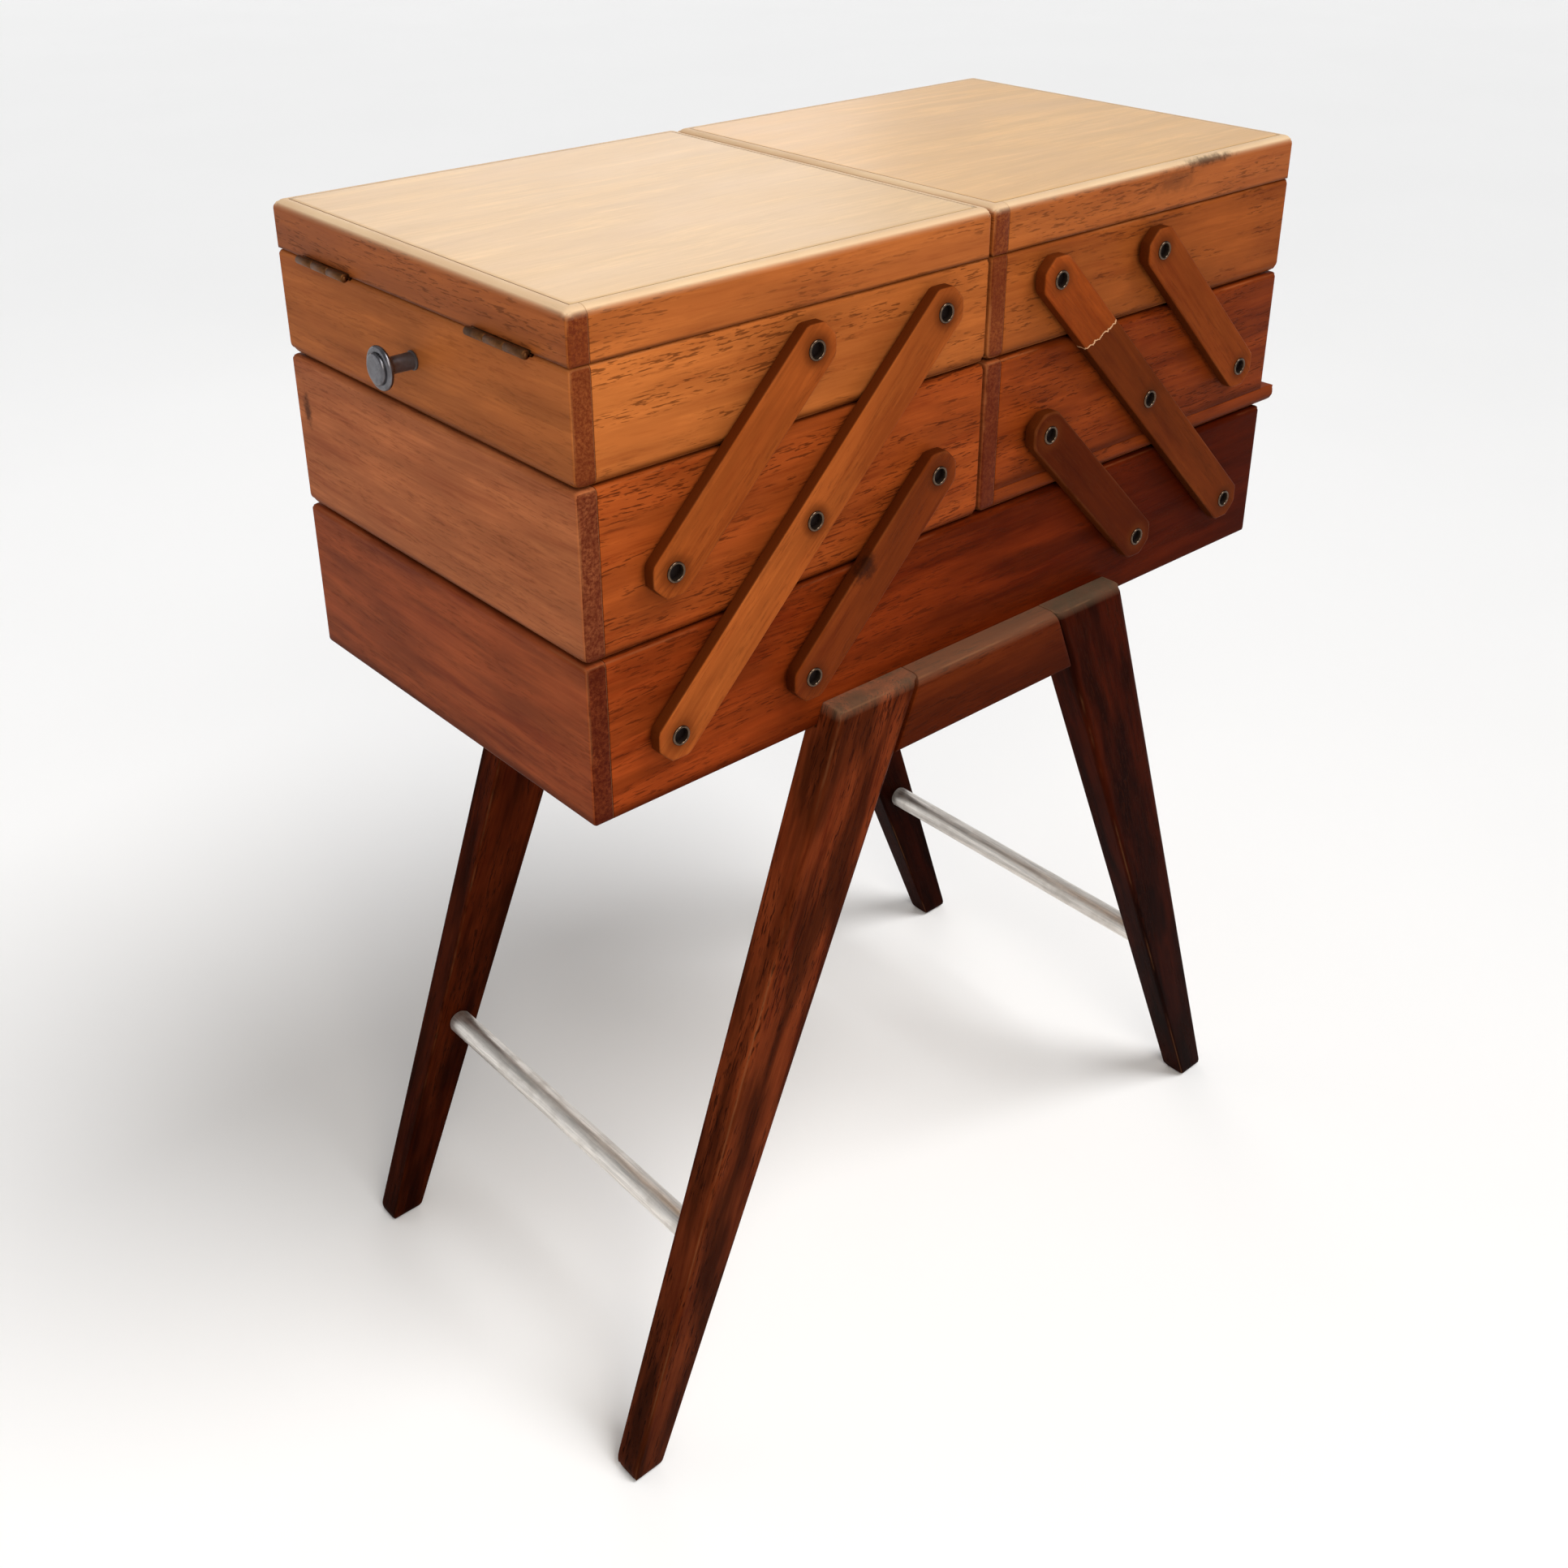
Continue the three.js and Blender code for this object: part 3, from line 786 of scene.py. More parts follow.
def metal(key, name, streak, **choices):
    """A maker of the finish of one metal, from its colour in the settings."""
    return lambda: metal_finish(name, tuple(getattr(settings().metals, key)), streak, **choices)


def arm_crack_place():
    """Where the repaired break crosses the right front long arm: a fifth of the way down from its top
    rivet, in that arm's own grain coordinates."""
    pivots = arm_pivots("long_arm", "right")
    point = pivots[-1] + (pivots[0] - pivots[-1]) * 0.2
    along = arm_direction(pivots)
    name = "arm_long_right_front"
    return float(grain_coordinates(name, point[None], along, (0, 1, 0))[0] @ (1, 0, CRACK_SLANT))


def lid_spots():
    """Dark rubs along the front top edge of the right lid."""
    low, high = box("lid_right_rim")
    x = low[0] + (high[0] - low[0]) * 0.68
    return [((x, low[1], high[2] - 2 * MM), (0.024, 0.006, 0.0028), 0.75),
            ((x - 0.025, low[1], high[2] - 8 * MM), (0.020, 0.006, 0.007), 0.35)]


def middle_spots():
    """A small knot near the rear of the left end of the left middle tray."""
    low, high = box("middle_left_left_end")
    return [((low[0], high[1] - 9 * MM, high[2] - 24 * MM), (0.004, 0.0045, 0.011), 0.75)]


def chipped_arm_spots():
    """A dark bruise half way along the upper edge of the left front lower short arm."""
    pivots = arm_pivots("lower_short_arm", "left")
    half = arm_half_width("lower_short_arm", "left")
    along = arm_direction(pivots)
    middle = (pivots[0] + pivots[1]) / 2 + half * np.array([-along[2], 0, along[0]])
    middle[1] = box("lower_short_arm_left_front")[0][1]
    return [(tuple(middle), (0.009, 0.008, 0.010), 0.9)]


VENEER = {"contrast": 0.12, "pores": 0.05, "figure": 2.2, "flame": 0.03, "gloss": 0.36, "shine": 0.5,
          "coat": 0.1}
FINISH_MAKERS = {
    "lid": tier_finish("lid_veneer", "lid", **VENEER),
    "lid_golden": lambda: wood_finish(
        "lid_veneer_golden_oak", tuple(c * k for c, k in zip(wood_colour("lid"), LID_GOLDEN)), **VENEER),
    "top": tier_finish("top_tier", "top", contrast=0.42, pores=0.85, flame=0.07),
    "top_end": tier_finish("top_tier_end", "top", dulled=0.1, contrast=0.42, pores=0.25),
    "lid_rim": tier_finish("lid_rim", "top", contrast=0.42, pores=0.7, flame=0.07, shine=0.08),
    "lid_rim_marked": lambda: wood_finish(
        "lid_rim_marked_oak", wood_colour("top"), contrast=0.42, pores=0.7, flame=0.07, shine=0.08,
        stains=lid_spots()),
    "middle": tier_finish("middle_tier", "middle", contrast=0.55, pores=0.9, flame=0.15),
    "middle_end": tier_finish("middle_tier_end", "middle", dulled=0.2, contrast=0.5, pores=0.3),
    "middle_marked": lambda: wood_finish(
        "middle_marked_oak", blend(wood_colour("middle"), DULL_WOOD, 0.25), contrast=0.50, pores=0.3,
        stains=middle_spots()),
    "bottom": tier_finish("bottom_tray", "bottom", shine=0.012, contrast=0.60, pores=0.7, flame=0.22),
    "bottom_end": tier_finish("bottom_tray_end", "bottom", dulled=0.08, contrast=0.58, pores=0.3,
                              flame=0.2),
    "arm": tier_finish("arm", "arm", shine=0.014, contrast=0.45, pores=0.3, grime=(0.5, 0.85),
                       rubbed=0.12),
    "arm_mended": lambda: wood_finish(
        "arm_mended_oak", wood_colour("arm"), contrast=0.45, pores=0.3, grime=(0.5, 0.85), rubbed=0.1,
        shine=0.014, crack=arm_crack_place()),
    "arm_chipped": lambda: wood_finish(
        "arm_chipped_oak", wood_colour("arm"), contrast=0.62, pores=0.5, grime=(0.5, 0.85), rubbed=0.15,
        stains=chipped_arm_spots()),
    "stand": tier_finish("stand", "stand", contrast=0.80, pores=1.0, flame=0.55, gloss=0.38, shine=0.008,
                         rubbed=0.3, fade=(0.40, 0.45)),
    "rail": lambda: wood_finish(
        "rail_oak", blend(wood_colour("stand"), wood_colour("middle"), 0.25), contrast=0.6, pores=0.8,
        shine=0.012),
    "base": tier_finish("base_panel", "base", contrast=0.35, pores=0.2, gloss=0.55),
    "spacer": lambda: wood_finish(
        "spacer_fibre", (0.03, 0.010, 0.005), contrast=0.3, pores=0.2, gloss=0.6, shine=0.1),
    "rod": metal("rod", "rod_aluminium", (900, 40, 900), roughness=0.42, tarnish=(0.36, 0.32, 0.28),
                 dirt=0.3),
    "knob": metal("knob", "knob_nickel", (300, 300, 300), roughness=0.27, tarnish=(0.05, 0.032, 0.024),
                  dirt=0.35),
    # Rivets: the near-black colour fills their hollows as painted shade
    "rivet": metal("rivet", "rivet_nickel", (700, 700, 700), roughness=0.22,
                   tarnish=(0.008, 0.004, 0.003), dirt=0.12),
    "hinge": metal("hinge", "hinge_bronze", (500, 500, 500), roughness=0.48,
                   tarnish=(0.02, 0.012, 0.008), dirt=0.6),
}


# ---------------------------------------------------------------------------------------------
# Trays and lids
# ---------------------------------------------------------------------------------------------

BOARD_PARTS = ("front_board", "rear_board", "left_end", "right_end", "base")


def case_radii(low, high, case_low, case_high, foot, rim, corner):
    """Edge radii of one board in a tray or lid. An edge on the outside of the case gets the case's
    own rounding, and every other edge is only eased."""
    def outer(face):
        """Whether the board's face lies on the case's own face."""
        axis, side = face
        case = case_low if side < 0 else case_high
        board = low if side < 0 else high
        return abs(board[axis] - case[axis]) < TOUCH

    radii = {}
    for pair in EDGES:
        radius = settings().edges.joint
        if all(outer(face) for face in pair):
            levels = [face[1] for face in pair if face[0] == 2]
            radius = (foot if levels[0] < 0 else rim) if levels else corner
            if set(pair) == {(0, 1), (1, -1)}:
                radius = settings().edges.right_corner
        radii[pair] = radius
    return radii


def inner_face(low, high, case_low, case_high):
    """The broad face of a board that looks into the case: across its thinnest side, towards the middle."""
    thin = int(np.argmin(high - low))
    side = 1 if low[thin] + high[thin] < case_low[thin] + case_high[thin] else -1
    return (thin, side)


def leaf_recess(side, end, kind):
    """Box cut out of a board for a hinge leaf, a hair larger than the leaf's plate."""
    low, high = box(f"hinge_{side}_{end}_{kind}_leaf")
    wall = box(f"top_{side}_{side}_end")
    seam = (low[2] + high[2]) / 2
    cut_low = low - LEAF_ROOM
    cut_high = high + LEAF_ROOM
    outward = 0 if SIDES[side] < 0 else 1
    (cut_low if outward == 0 else cut_high)[0] = wall[outward][0] + SIDES[side] * 1 * MM
    cut_low[2] = seam - (LEAF_RECESS if kind == "tray" else 0.0)
    cut_high[2] = seam + (0.0 if kind == "tray" else LEAF_RECESS)
    return cut_low, cut_high


def close_joints(low, high, case_low, case_high, axis):
    """Lengthens a board between two end boards until only a hair of their joint is left open."""
    if low[axis] > case_low[axis] + TOUCH:
        low[axis] -= JOINT_SLACK
    if high[axis] < case_high[axis] - TOUCH:
        high[axis] += JOINT_SLACK


def add_tray(tray, key, foot, marked=None):
    """The five boards of a tray. The left end laps both long boards, the front board runs through to
    the right corner, and the right end laps the rear board."""
    edges = settings().edges
    nodes = [f"{tray}_{part}" for part in BOARD_PARTS]
    case_low, case_high = box(*nodes)
    for part, node in zip(BOARD_PARTS, nodes):
        low, high = box(node)
        if part == "base":
            radii = dict.fromkeys(EDGES, 0.2 * MM)
            add_board(f"{node}_panel", node, low, high, radii, finish("base"), along=0)
            continue
        cuts = []
        close_joints(low, high, case_low, case_high, 0 if part.endswith("board") else 1)
        for side in SIDES:
            if tray == f"top_{side}" and part == f"{side}_end":
                cuts.extend(leaf_recess(side, end, "tray") for end in ENDS)
        radii = case_radii(low, high, case_low, case_high, foot, edges.tray_rim, edges.tray_corner)
        along = 0 if part.endswith("board") else 1
        raw = [inner_face(low, high, case_low, case_high)]
        chosen = key if along == 0 else (marked if marked and part == "left_end" else f"{key}_end")
        add_board(f"{node}_oak", node, low, high, radii, finish(chosen), along, raw, cuts,
                  low_face=(2, -1))


def add_edge_strip():
    """Strip along the bottom front edge of the right middle tray. Its free end is rounded like a
    thumb and stands out past the tray's end."""
    edges = settings().edges
    node = "middle_right_edge_strip"
    low, high = box(node)
    high[2] += JOINT_SLACK
    low[0] -= JOINT_SLACK
    radii = dict.fromkeys(EDGES, edges.joint)
    radii[((1, -1), (2, -1))] = edges.tray_foot
    radii[((0, 1), (1, -1))] = 2.5 * MM
    radii[((0, 1), (1, 1))] = 2.5 * MM
    tip = (high[2] - low[2]) * 0.42
    radii[((0, 1), (2, -1))] = tip
    radii[((0, 1), (2, 1))] = tip
    add_board("middle_right_edge_strip_oak", node, low, high, radii, finish("middle"), along=0,
              low_face=(2, -1))


def add_lid(side):
    """A lid: four rim boards, lapped as the trays' boards are, with a rebate for the flush veneered
    panel and a rounding along their top edges."""
    edges = settings().edges
    rim = f"lid_{side}_rim"
    panel = f"lid_{side}_panel"
    case_low, case_high = box(rim)
    panel_low, panel_high = box(panel)
    wall = box(f"top_{side}_left_end")
    thickness = wall[1][0] - wall[0][0]
    gap = 0.3 * MM
    rebate = (
        np.array([panel_low[0] - gap, panel_low[1] - gap, panel_low[2] - gap]),
        np.array([panel_high[0] + gap, panel_high[1] + gap, 1.0]),
    )
    inset = thickness + 0.08 * MM
    (x0, y0), (x1, y1) = case_low[:2], case_high[:2]
    spans = {
        "front_board": ((x0 + inset, y0), (x1, y0 + thickness)),
        "rear_board": ((x0 + inset, y1 - thickness), (x1 - inset, y1)),
        "left_end": ((x0, y0), (x0 + thickness, y1)),
        "right_end": ((x1 - thickness, y0 + inset), (x1, y1)),
    }
    for part, (span_low, span_high) in spans.items():
        low = np.array([*span_low, case_low[2]])
        high = np.array([*span_high, case_high[2]])
        radii = case_radii(low, high, case_low, case_high, edges.joint, edges.lid_top, edges.tray_corner)
        cuts = [rebate]
        if part == f"{side}_end":
            cuts.extend(leaf_recess(side, end, "lid") for end in ENDS)
        along = 0 if part.endswith("board") else 1
        raw = [inner_face(low, high, case_low, case_high)]
        marked = side == "right" and part == "front_board"
        chosen = finish("lid_rim_marked" if marked else "lid_rim")
        add_board(f"lid_{side}_{part}_oak", rim, low, high, radii, chosen, along, raw, cuts,
                  low_face=(2, -1), bleached=3.8 * MM)
    radii = dict.fromkeys(EDGES, edges.joint)
    add_board(f"lid_{side}_veneered_panel", panel, panel_low, panel_high, radii,
              finish("lid" if side == "left" else "lid_golden"), along=0,
              raw_faces=[(2, -1)], seam=True)


# ---------------------------------------------------------------------------------------------
# Hinges and knobs
# ---------------------------------------------------------------------------------------------

def knuckle(centre_x, centre_z, y0, y1, radius):
    """A hinge knuckle: a short tube with eased ends, closed at both ends."""
    ease = 0.12 * MM
    half = (y1 - y0) / 2
    profile = [(0, -half), (radius - ease, -half), (radius, -half + ease), (radius, half - ease),
               (radius - ease, half), (0, half)]
    return lathe(profile, (centre_x, (y0 + y1) / 2, centre_z), (0, 1, 0), segments=28)


def add_hinge_leaf(side, end, kind):
    """One leaf: a plate let into the edge of its board, its knuckles on the pin, and its screws."""
    node = f"hinge_{side}_{end}_{kind}_leaf"
    low, high = box(node)
    direction = SIDES[side]
    wall = box(f"top_{side}_{side}_end")[0 if direction < 0 else 1][0]
    seam = (low[2] + high[2]) / 2
    radius = (high[2] - low[2]) / 2
    axis_x = (low[0] if direction < 0 else high[0]) - direction * radius
    inner = high[0] if direction < 0 else low[0]
    up = -1 if kind == "tray" else 1
    plate_z = sorted(seam + up * level for level in PLATE_LEVELS)
    middle_y = (low[1] + high[1]) / 2
    plate_x = sorted((inner, wall - direction * 0.1 * MM))
    plate_low = np.array([plate_x[0], low[1], plate_z[0]])
    plate_high = np.array([plate_x[1], high[1], plate_z[1]])
    radii = dict.fromkeys(EDGES, 0.2 * MM)
    points, quads, _ = board_surface(plate_low, plate_high, radii)
    surfaces = [(points, quads)]
    half = (high[1] - low[1]) / 2
    beyond = MIDDLE_KNUCKLE + 0.3 * MM
    spans = [(-half, -beyond), (beyond, half)] if kind == "tray" else [(-MIDDLE_KNUCKLE, MIDDLE_KNUCKLE)]
    tab_x = sorted((wall - direction * 1 * MM, axis_x))
    for a, b in spans:
        tab_low = np.array([tab_x[0], middle_y + a, plate_z[0]])
        tab_high = np.array([tab_x[1], middle_y + b, plate_z[1]])
        points, quads, _ = board_surface(tab_low, tab_high, dict.fromkeys(EDGES, 0.1 * MM))
        surfaces.append((points, quads))
        surfaces.append(knuckle(axis_x, seam, middle_y + a, middle_y + b, radius))
    face = plate_z[1] if kind == "tray" else plate_z[0]
    screw_x = (plate_x[0] + plate_x[1]) / 2
    for offset in (-0.7, 0.0, 0.7):
        head = [(0, 0.16 * MM), (0.9 * MM, 0.14 * MM), (1.5 * MM, 0.05 * MM), (1.7 * MM, -0.1 * MM),
                (0, -0.3 * MM)]
        origin = (screw_x, middle_y + offset * half, face)
        surfaces.append(lathe(head[::-1], origin, (0, 0, -up), segments=20))
    points, faces = join_surfaces(*surfaces)
    values = {"bore": np.zeros(len(points))}
    add_piece(f"hinge_{side}_{end}_{kind}_plate", node, points, faces, values, finish("hinge"))


def add_hinge_pin(side, end):
    """The pin of a hinge, whose domed heads stand just outside the knuckles."""
    node = f"hinge_{side}_{end}_tray_leaf"
    low, high = box(node)
    radius = settings().fittings.hinge_pin
    barrel = (high[2] - low[2]) / 2
    axis_x = (low[0] + barrel) if SIDES[side] < 0 else (high[0] - barrel)
    half = (high[1] - low[1]) / 2
    dome = 0.5 * MM
    profile = [(0, -half - dome), (radius * 0.7, -half - dome * 0.7), (radius, -half), (radius, half),
               (radius * 0.7, half + dome * 0.7), (0, half + dome)]
    points, faces = lathe(profile, (axis_x, (low[1] + high[1]) / 2, (low[2] + high[2]) / 2), (0, 1, 0), 20)
    values = {"bore": np.zeros(len(points))}
    add_piece(f"hinge_{side}_{end}_pin", node, points, faces, values, finish("hinge"))


def add_knob(side):
    """A turned knob: flared foot, plain stem, and a head with a rolled rim and a raised face."""
    node = f"knob_{side}"
    low, high = box(node)
    direction = SIDES[side]
    total = high[0] - low[0]
    head = (high[1] - low[1]) / 2
    stem = head * 0.39
    back = total - 4.6 * MM
    profile = [(0, 0), (stem + 0.5 * MM, 0), (stem + 0.5 * MM, 0.5 * MM), (stem, 0.9 * MM)]
    profile += [(stem, 2.0 * MM), (stem, back - 3.0 * MM)]
    profile += arc(stem + 2.4 * MM, back - 2.6 * MM, 2.4 * MM, 180, 100, 6)
    profile += [(head - 1.6 * MM, back + 0.5 * MM)]
    profile += arc(head - 1.3 * MM, back + 1.9 * MM, 1.3 * MM, -80, 100, 9)
    profile += [(head - 2.1 * MM, back + 3.25 * MM), (head - 2.6 * MM, back + 3.0 * MM)]
    profile += arc(head - 3.6 * MM, total - 1.0 * MM, 1.0 * MM, 0, 80, 5)
    profile += [(head * 0.45, total - 0.05 * MM), (0, total)]
    origin = (high[0] if direction < 0 else low[0], (low[1] + high[1]) / 2, (low[2] + high[2]) / 2)
    points, faces = lathe(profile, origin, (direction, 0, 0), segments=64)
    reach = np.abs(points[:, 0] - origin[0])
    values = {"bore": np.clip(1 - reach / (back * 0.9), 0, 1) * 0.75}
    add_piece(f"{node}_nickel", node, points, faces, values, finish("knob"))


# ---------------------------------------------------------------------------------------------
# Arms and rivets
# ---------------------------------------------------------------------------------------------

ARM_KINDS = {"long_arm": "arm_long", "lower_short_arm": "arm_lower", "upper_short_arm": "arm_upper"}
ARM_PIVOT_COUNT = {"long_arm": 3, "lower_short_arm": 2, "upper_short_arm": 2}
ARM_JOINTS = {"long_arm": "swing", "lower_short_arm": "lower_arm_pivot",
              "upper_short_arm": "upper_arm_pivot"}
MARKED_ARMS = {"arm_long_right_front": "arm_mended", "arm_lower_left_front": "arm_chipped"}


def arm_pivots(kind, side):
    """Pivot points of an arm, from the bottom up, halfway through the box's depth."""
    low, high = box(f"{kind}_{side}_front")
    half = arm_half_width(kind, side)
    direction = SIDES[side]
    bottom_x = low[0] + half if direction < 0 else high[0] - half
    top_x = high[0] - half if direction < 0 else low[0] + half
    bottom = np.array([bottom_x, 0.0, low[2] + half])
    top = np.array([top_x, 0.0, high[2] - half])
    return [bottom + (top - bottom) * t for t in np.linspace(0, 1, ARM_PIVOT_COUNT[kind])]


def arm_half_width(kind, side):
    """Half the width of an arm. Its joint's place gives the bottom pivot, so the rest of the way down
    to the arm's lowest point is the rounded end."""
    low, _ = box(f"{kind}_{side}_front")
    return pivot_height(kind, side) - low[2]


def pivot_height(kind, side):
    """Height of the joint at an arm's bottom pivot."""
    return JOINT_HEIGHT[f"{side}_{ARM_JOINTS[kind]}"]


def arm_direction(pivots):
    """Unit vector from the bottom pivot to the top one."""
    run = pivots[-1] - pivots[0]
    return run / np.linalg.norm(run)


def arm_outline(pivots, half, inset, side_steps=8, end_steps=20):
    """Outline of a flat bar round its pivots, drawn in by inset: straight sides, and ends between a
    half circle and half an octagon, as when the corners of a bar are sawn off and then sanded."""
    run = arm_direction(pivots)
    cross = np.array([run[2], 0.0, -run[0]])
    angle = np.linspace(-math.pi / 2, math.pi / 2, end_steps)
    facet = math.pi / 4
    octagon = 1 / np.cos((angle + facet / 2) % facet - facet / 2)
    reach = (half - inset) * (1 + 0.85 * (octagon - 1))
    cap = reach[:, None] * (np.cos(angle)[:, None] * run + np.sin(angle)[:, None] * -cross)
    base = reach[:, None] * (np.cos(angle)[:, None] * -run + np.sin(angle)[:, None] * cross)
    steps = np.linspace(0, 1, side_steps + 2)[1:-1, None]
    up_side = base[-1] + pivots[0] + (cap[0] + pivots[-1] - base[-1] - pivots[0]) * steps
    down_side = cap[-1] + pivots[-1] + (base[0] + pivots[0] - cap[-1] - pivots[-1]) * steps
    return np.concatenate([cap + pivots[-1], down_side, base + pivots[0], up_side])


def circle(middle, radius, steps=24):
    """Ring of points round a pivot in the plane of the arms, at even angles."""
    angle = np.arange(steps) * 2 * math.pi / steps
    return middle + radius * np.stack([np.cos(angle), np.zeros(steps), np.sin(angle)], axis=1)


def strip(a, b):
    """Quads between two closed rings of point numbers."""
    return np.stack([a, np.roll(a, -1), np.roll(b, -1), b], axis=1)


def add_arm(kind, side, end):
    """A flat bar with rounded edges and a hole at each pivot.

    Rings of the outline, each drawn in and moved out a little more, make the sides and the rounded
    edges. The flat faces are filled between the last ring and the rings round the holes."""
    node = f"{kind}_{side}_{end}"
    name = f"{ARM_KINDS[kind]}_{side}_{end}"
    low, high = box(node)
    pivots = arm_pivots(kind, side)
    half = arm_half_width(kind, side)
    out = ENDS[end]
    face_y = (low[1] if out < 0 else high[1]) - out * settings().fittings.rivet_proud
    edge = settings().edges.arm
    back_edge = 0.5 * MM
    hole = settings().fittings.rivet_hole + HOLE_ROOM
    collar = [(hole + 0.4 * MM, ARM_THICKNESS), (hole, ARM_THICKNESS), (hole, 0.0),
              (settings().fittings.rivet, 0.0), (6.0 * MM, 0.0), (8.0 * MM, 0.0)]

    turns = np.linspace(0, math.pi / 2, 5)
    insets = list(edge * (1 - np.cos(turns))) + [edge + 0.6 * MM]
    depths = list(edge * (1 - np.sin(turns))) + [0.0]
    sections = [(inset, sunk) for inset, sunk in zip(insets, depths)]
    back = [(back_edge * (1 - math.cos(turn)), ARM_THICKNESS - back_edge * (1 - math.sin(turn)))
            for turn in turns[::2]]
    back.append((back_edge + 0.6 * MM, ARM_THICKNESS))
    sections = back[::-1] + sections

    points, rings, start = [], [], 0
    for inset, sunk in sections:
        ring = arm_outline(pivots, half, inset)
        ring[:, 1] = face_y - out * sunk
        points.append(ring)
        rings.append(np.arange(start, start + len(ring)))
        start += len(ring)
    holes = []
    for middle in pivots:
        levels = []
        for radius, sunk in collar:
            ring = circle(middle, radius)
            ring[:, 1] = face_y - out * sunk
            points.append(ring)
            levels.append(np.arange(start, start + len(ring)))
            start += len(ring)
        holes.append(levels)
    points = np.concatenate(points)

    faces = [strip(a, b) for a, b in zip(rings[:-1], rings[1:])]
    faces += [strip(a, b) for levels in holes for a, b in zip(levels[:-1], levels[1:])]
    faces = [list(face) for group in faces for face in group]
    faces += fill_between(points, [rings[-1]] + [levels[-1] for levels in holes])
    faces += fill_between(points, [rings[0]] + [levels[0] for levels in holes])

    along = arm_direction(pivots)
    sunk = (face_y - points[:, 1]) * out
    offset = points - pivots[0]
    reach = np.clip(offset @ along, 0, np.linalg.norm(pivots[-1] - pivots[0]))
    from_axis = np.linalg.norm((offset - reach[:, None] * along) * [1, 0, 1], axis=1)
    nearest = np.min([np.hypot(points[:, 0] - p[0], points[:, 2] - p[2]) for p in pivots], axis=0)
    # The foot band darkens the arm round each rivet, dirt with painted shade, and all over its side faces,
    # where it is painted shade
    grime = np.minimum(nearest - settings().fittings.rivet + 1 * MM, 9 * MM)
    grime = np.where(sunk > 0.5 * MM, 0.6 * MM + 0 * sunk, grime)
    values = {
        "grain": grain_coordinates(name, points, along, (0, 1, 0)),
        # Side faces at a third of the lightness: painted shade
        "tone": stain(name, points, np.where(sunk > 0.85 * edge, 0.34, 1.0)),
        "edge": np.clip(half - from_axis, 0, None) / MM + np.clip(sunk, 0, None) / MM,
        "foot": np.clip(grime, 0, None) / MM,
        "end_grain": np.zeros(len(points)),
        "raw": np.zeros(len(points)),
        "bleach": np.zeros(len(points)),
    }
    chosen = MARKED_ARMS.get(name, "arm")
    add_piece(name, node, points, faces, values, finish(chosen))
    add_rivets(name, node, pivots, face_y, out)


def fill_between(points, loops):
    """Triangles of the flat region inside the first loop and outside the others."""
    outlines = [[Vector((points[i][0], points[i][2], 0)) for i in loop] for loop in loops]
    numbers = np.concatenate(loops)
    return [[int(numbers[i]) for i in triangle] for triangle in tessellate_polygon(outlines)]


def add_rivets(arm_name, node, pivots, face_y, out):
    """Tubular rivets with rolled rims, one at each pivot, and a fibre spacer behind each."""
    sizes = settings().fittings
    rim, bore, proud = sizes.rivet, sizes.rivet_hole, sizes.rivet_proud
    roll = (rim - bore) / 2
    neck = bore + 0.25 * MM
    profile = [(0, -RIVET_WELL), (bore * 0.9, -RIVET_WELL), (bore, -0.5 * MM)]
    for turn in np.radians(np.linspace(170, 0, 10)):
        profile.append((bore + roll + roll * math.cos(turn), proud * math.sin(turn)))
    profile += [(rim, -0.05 * MM), (neck, -0.1 * MM), (neck, -TRAY_BEHIND), (0, -TRAY_BEHIND)]
    surfaces = [lathe(profile, (p[0], face_y, p[2]), (0, out, 0), segments=40) for p in pivots]
    points, faces = join_surfaces(*surfaces)
    sunk = (face_y - points[:, 1]) * out
    nearest = np.min([np.hypot(points[:, 0] - p[0], points[:, 2] - p[2]) for p in pivots], axis=0)
    # The rivet's hollow is painted dark, darkest at its floor: painted shade
    values = {"bore": np.where(nearest < bore * 1.05, np.clip(sunk / (0.8 * MM) + 0.25, 0, 1), 0)}
    piece_name = arm_name.replace("arm_", "rivets_", 1)
    add_piece(piece_name, node, points, faces, values, finish("rivet"))

    back_y = face_y - out * SPACER_FRONT
    thick = TRAY_BEHIND - SPACER_FRONT
    radius = sizes.spacer
    tube = bore + HOLE_ROOM
    washer = [(tube, 0), (radius - 0.3 * MM, 0), (radius, -0.3 * MM), (radius, -thick + 0.3 * MM),
              (radius - 0.3 * MM, -thick), (tube, -thick), (tube, 0)]
    surfaces = [lathe(washer, (p[0], back_y, p[2]), (0, out, 0), segments=32) for p in pivots]
    points, faces = join_surfaces(*surfaces)
    spacer_name = arm_name.replace("arm_", "spacers_", 1)
    flat = np.zeros(len(points))
    values = {
        "grain": grain_coordinates(spacer_name, points, (1, 0, 0), (0, 0, 1)),
        "tone": np.ones((len(points), 3)),
        "edge": flat + 5,
        "foot": flat + FAR_OFF,
        "end_grain": flat,
        "raw": flat,
        "bleach": flat,
    }
    add_piece(spacer_name, node, points, faces, values, finish("spacer"))


# ---------------------------------------------------------------------------------------------
# Stand
# ---------------------------------------------------------------------------------------------

def node_vertices(node):
    """All corner points of a CAD node, as an array."""
    mesh = frame["nodes"][node].data
    points = np.empty(len(mesh.vertices) * 3)
    mesh.vertices.foreach_get("co", points)
    return points.reshape(-1, 3)


def edge_at(node, level, axis=0):
    """Lowest and highest distance from the middle, along an axis, of a CAD node's corner points at its
    bottom (-1) or its top (1)."""
    points = node_vertices(node)
    z = points[:, 2].min() if level < 0 else points[:, 2].max()
    across = np.abs(points[np.abs(points[:, 2] - z) < TOUCH, axis])
    return across.min(), across.max()


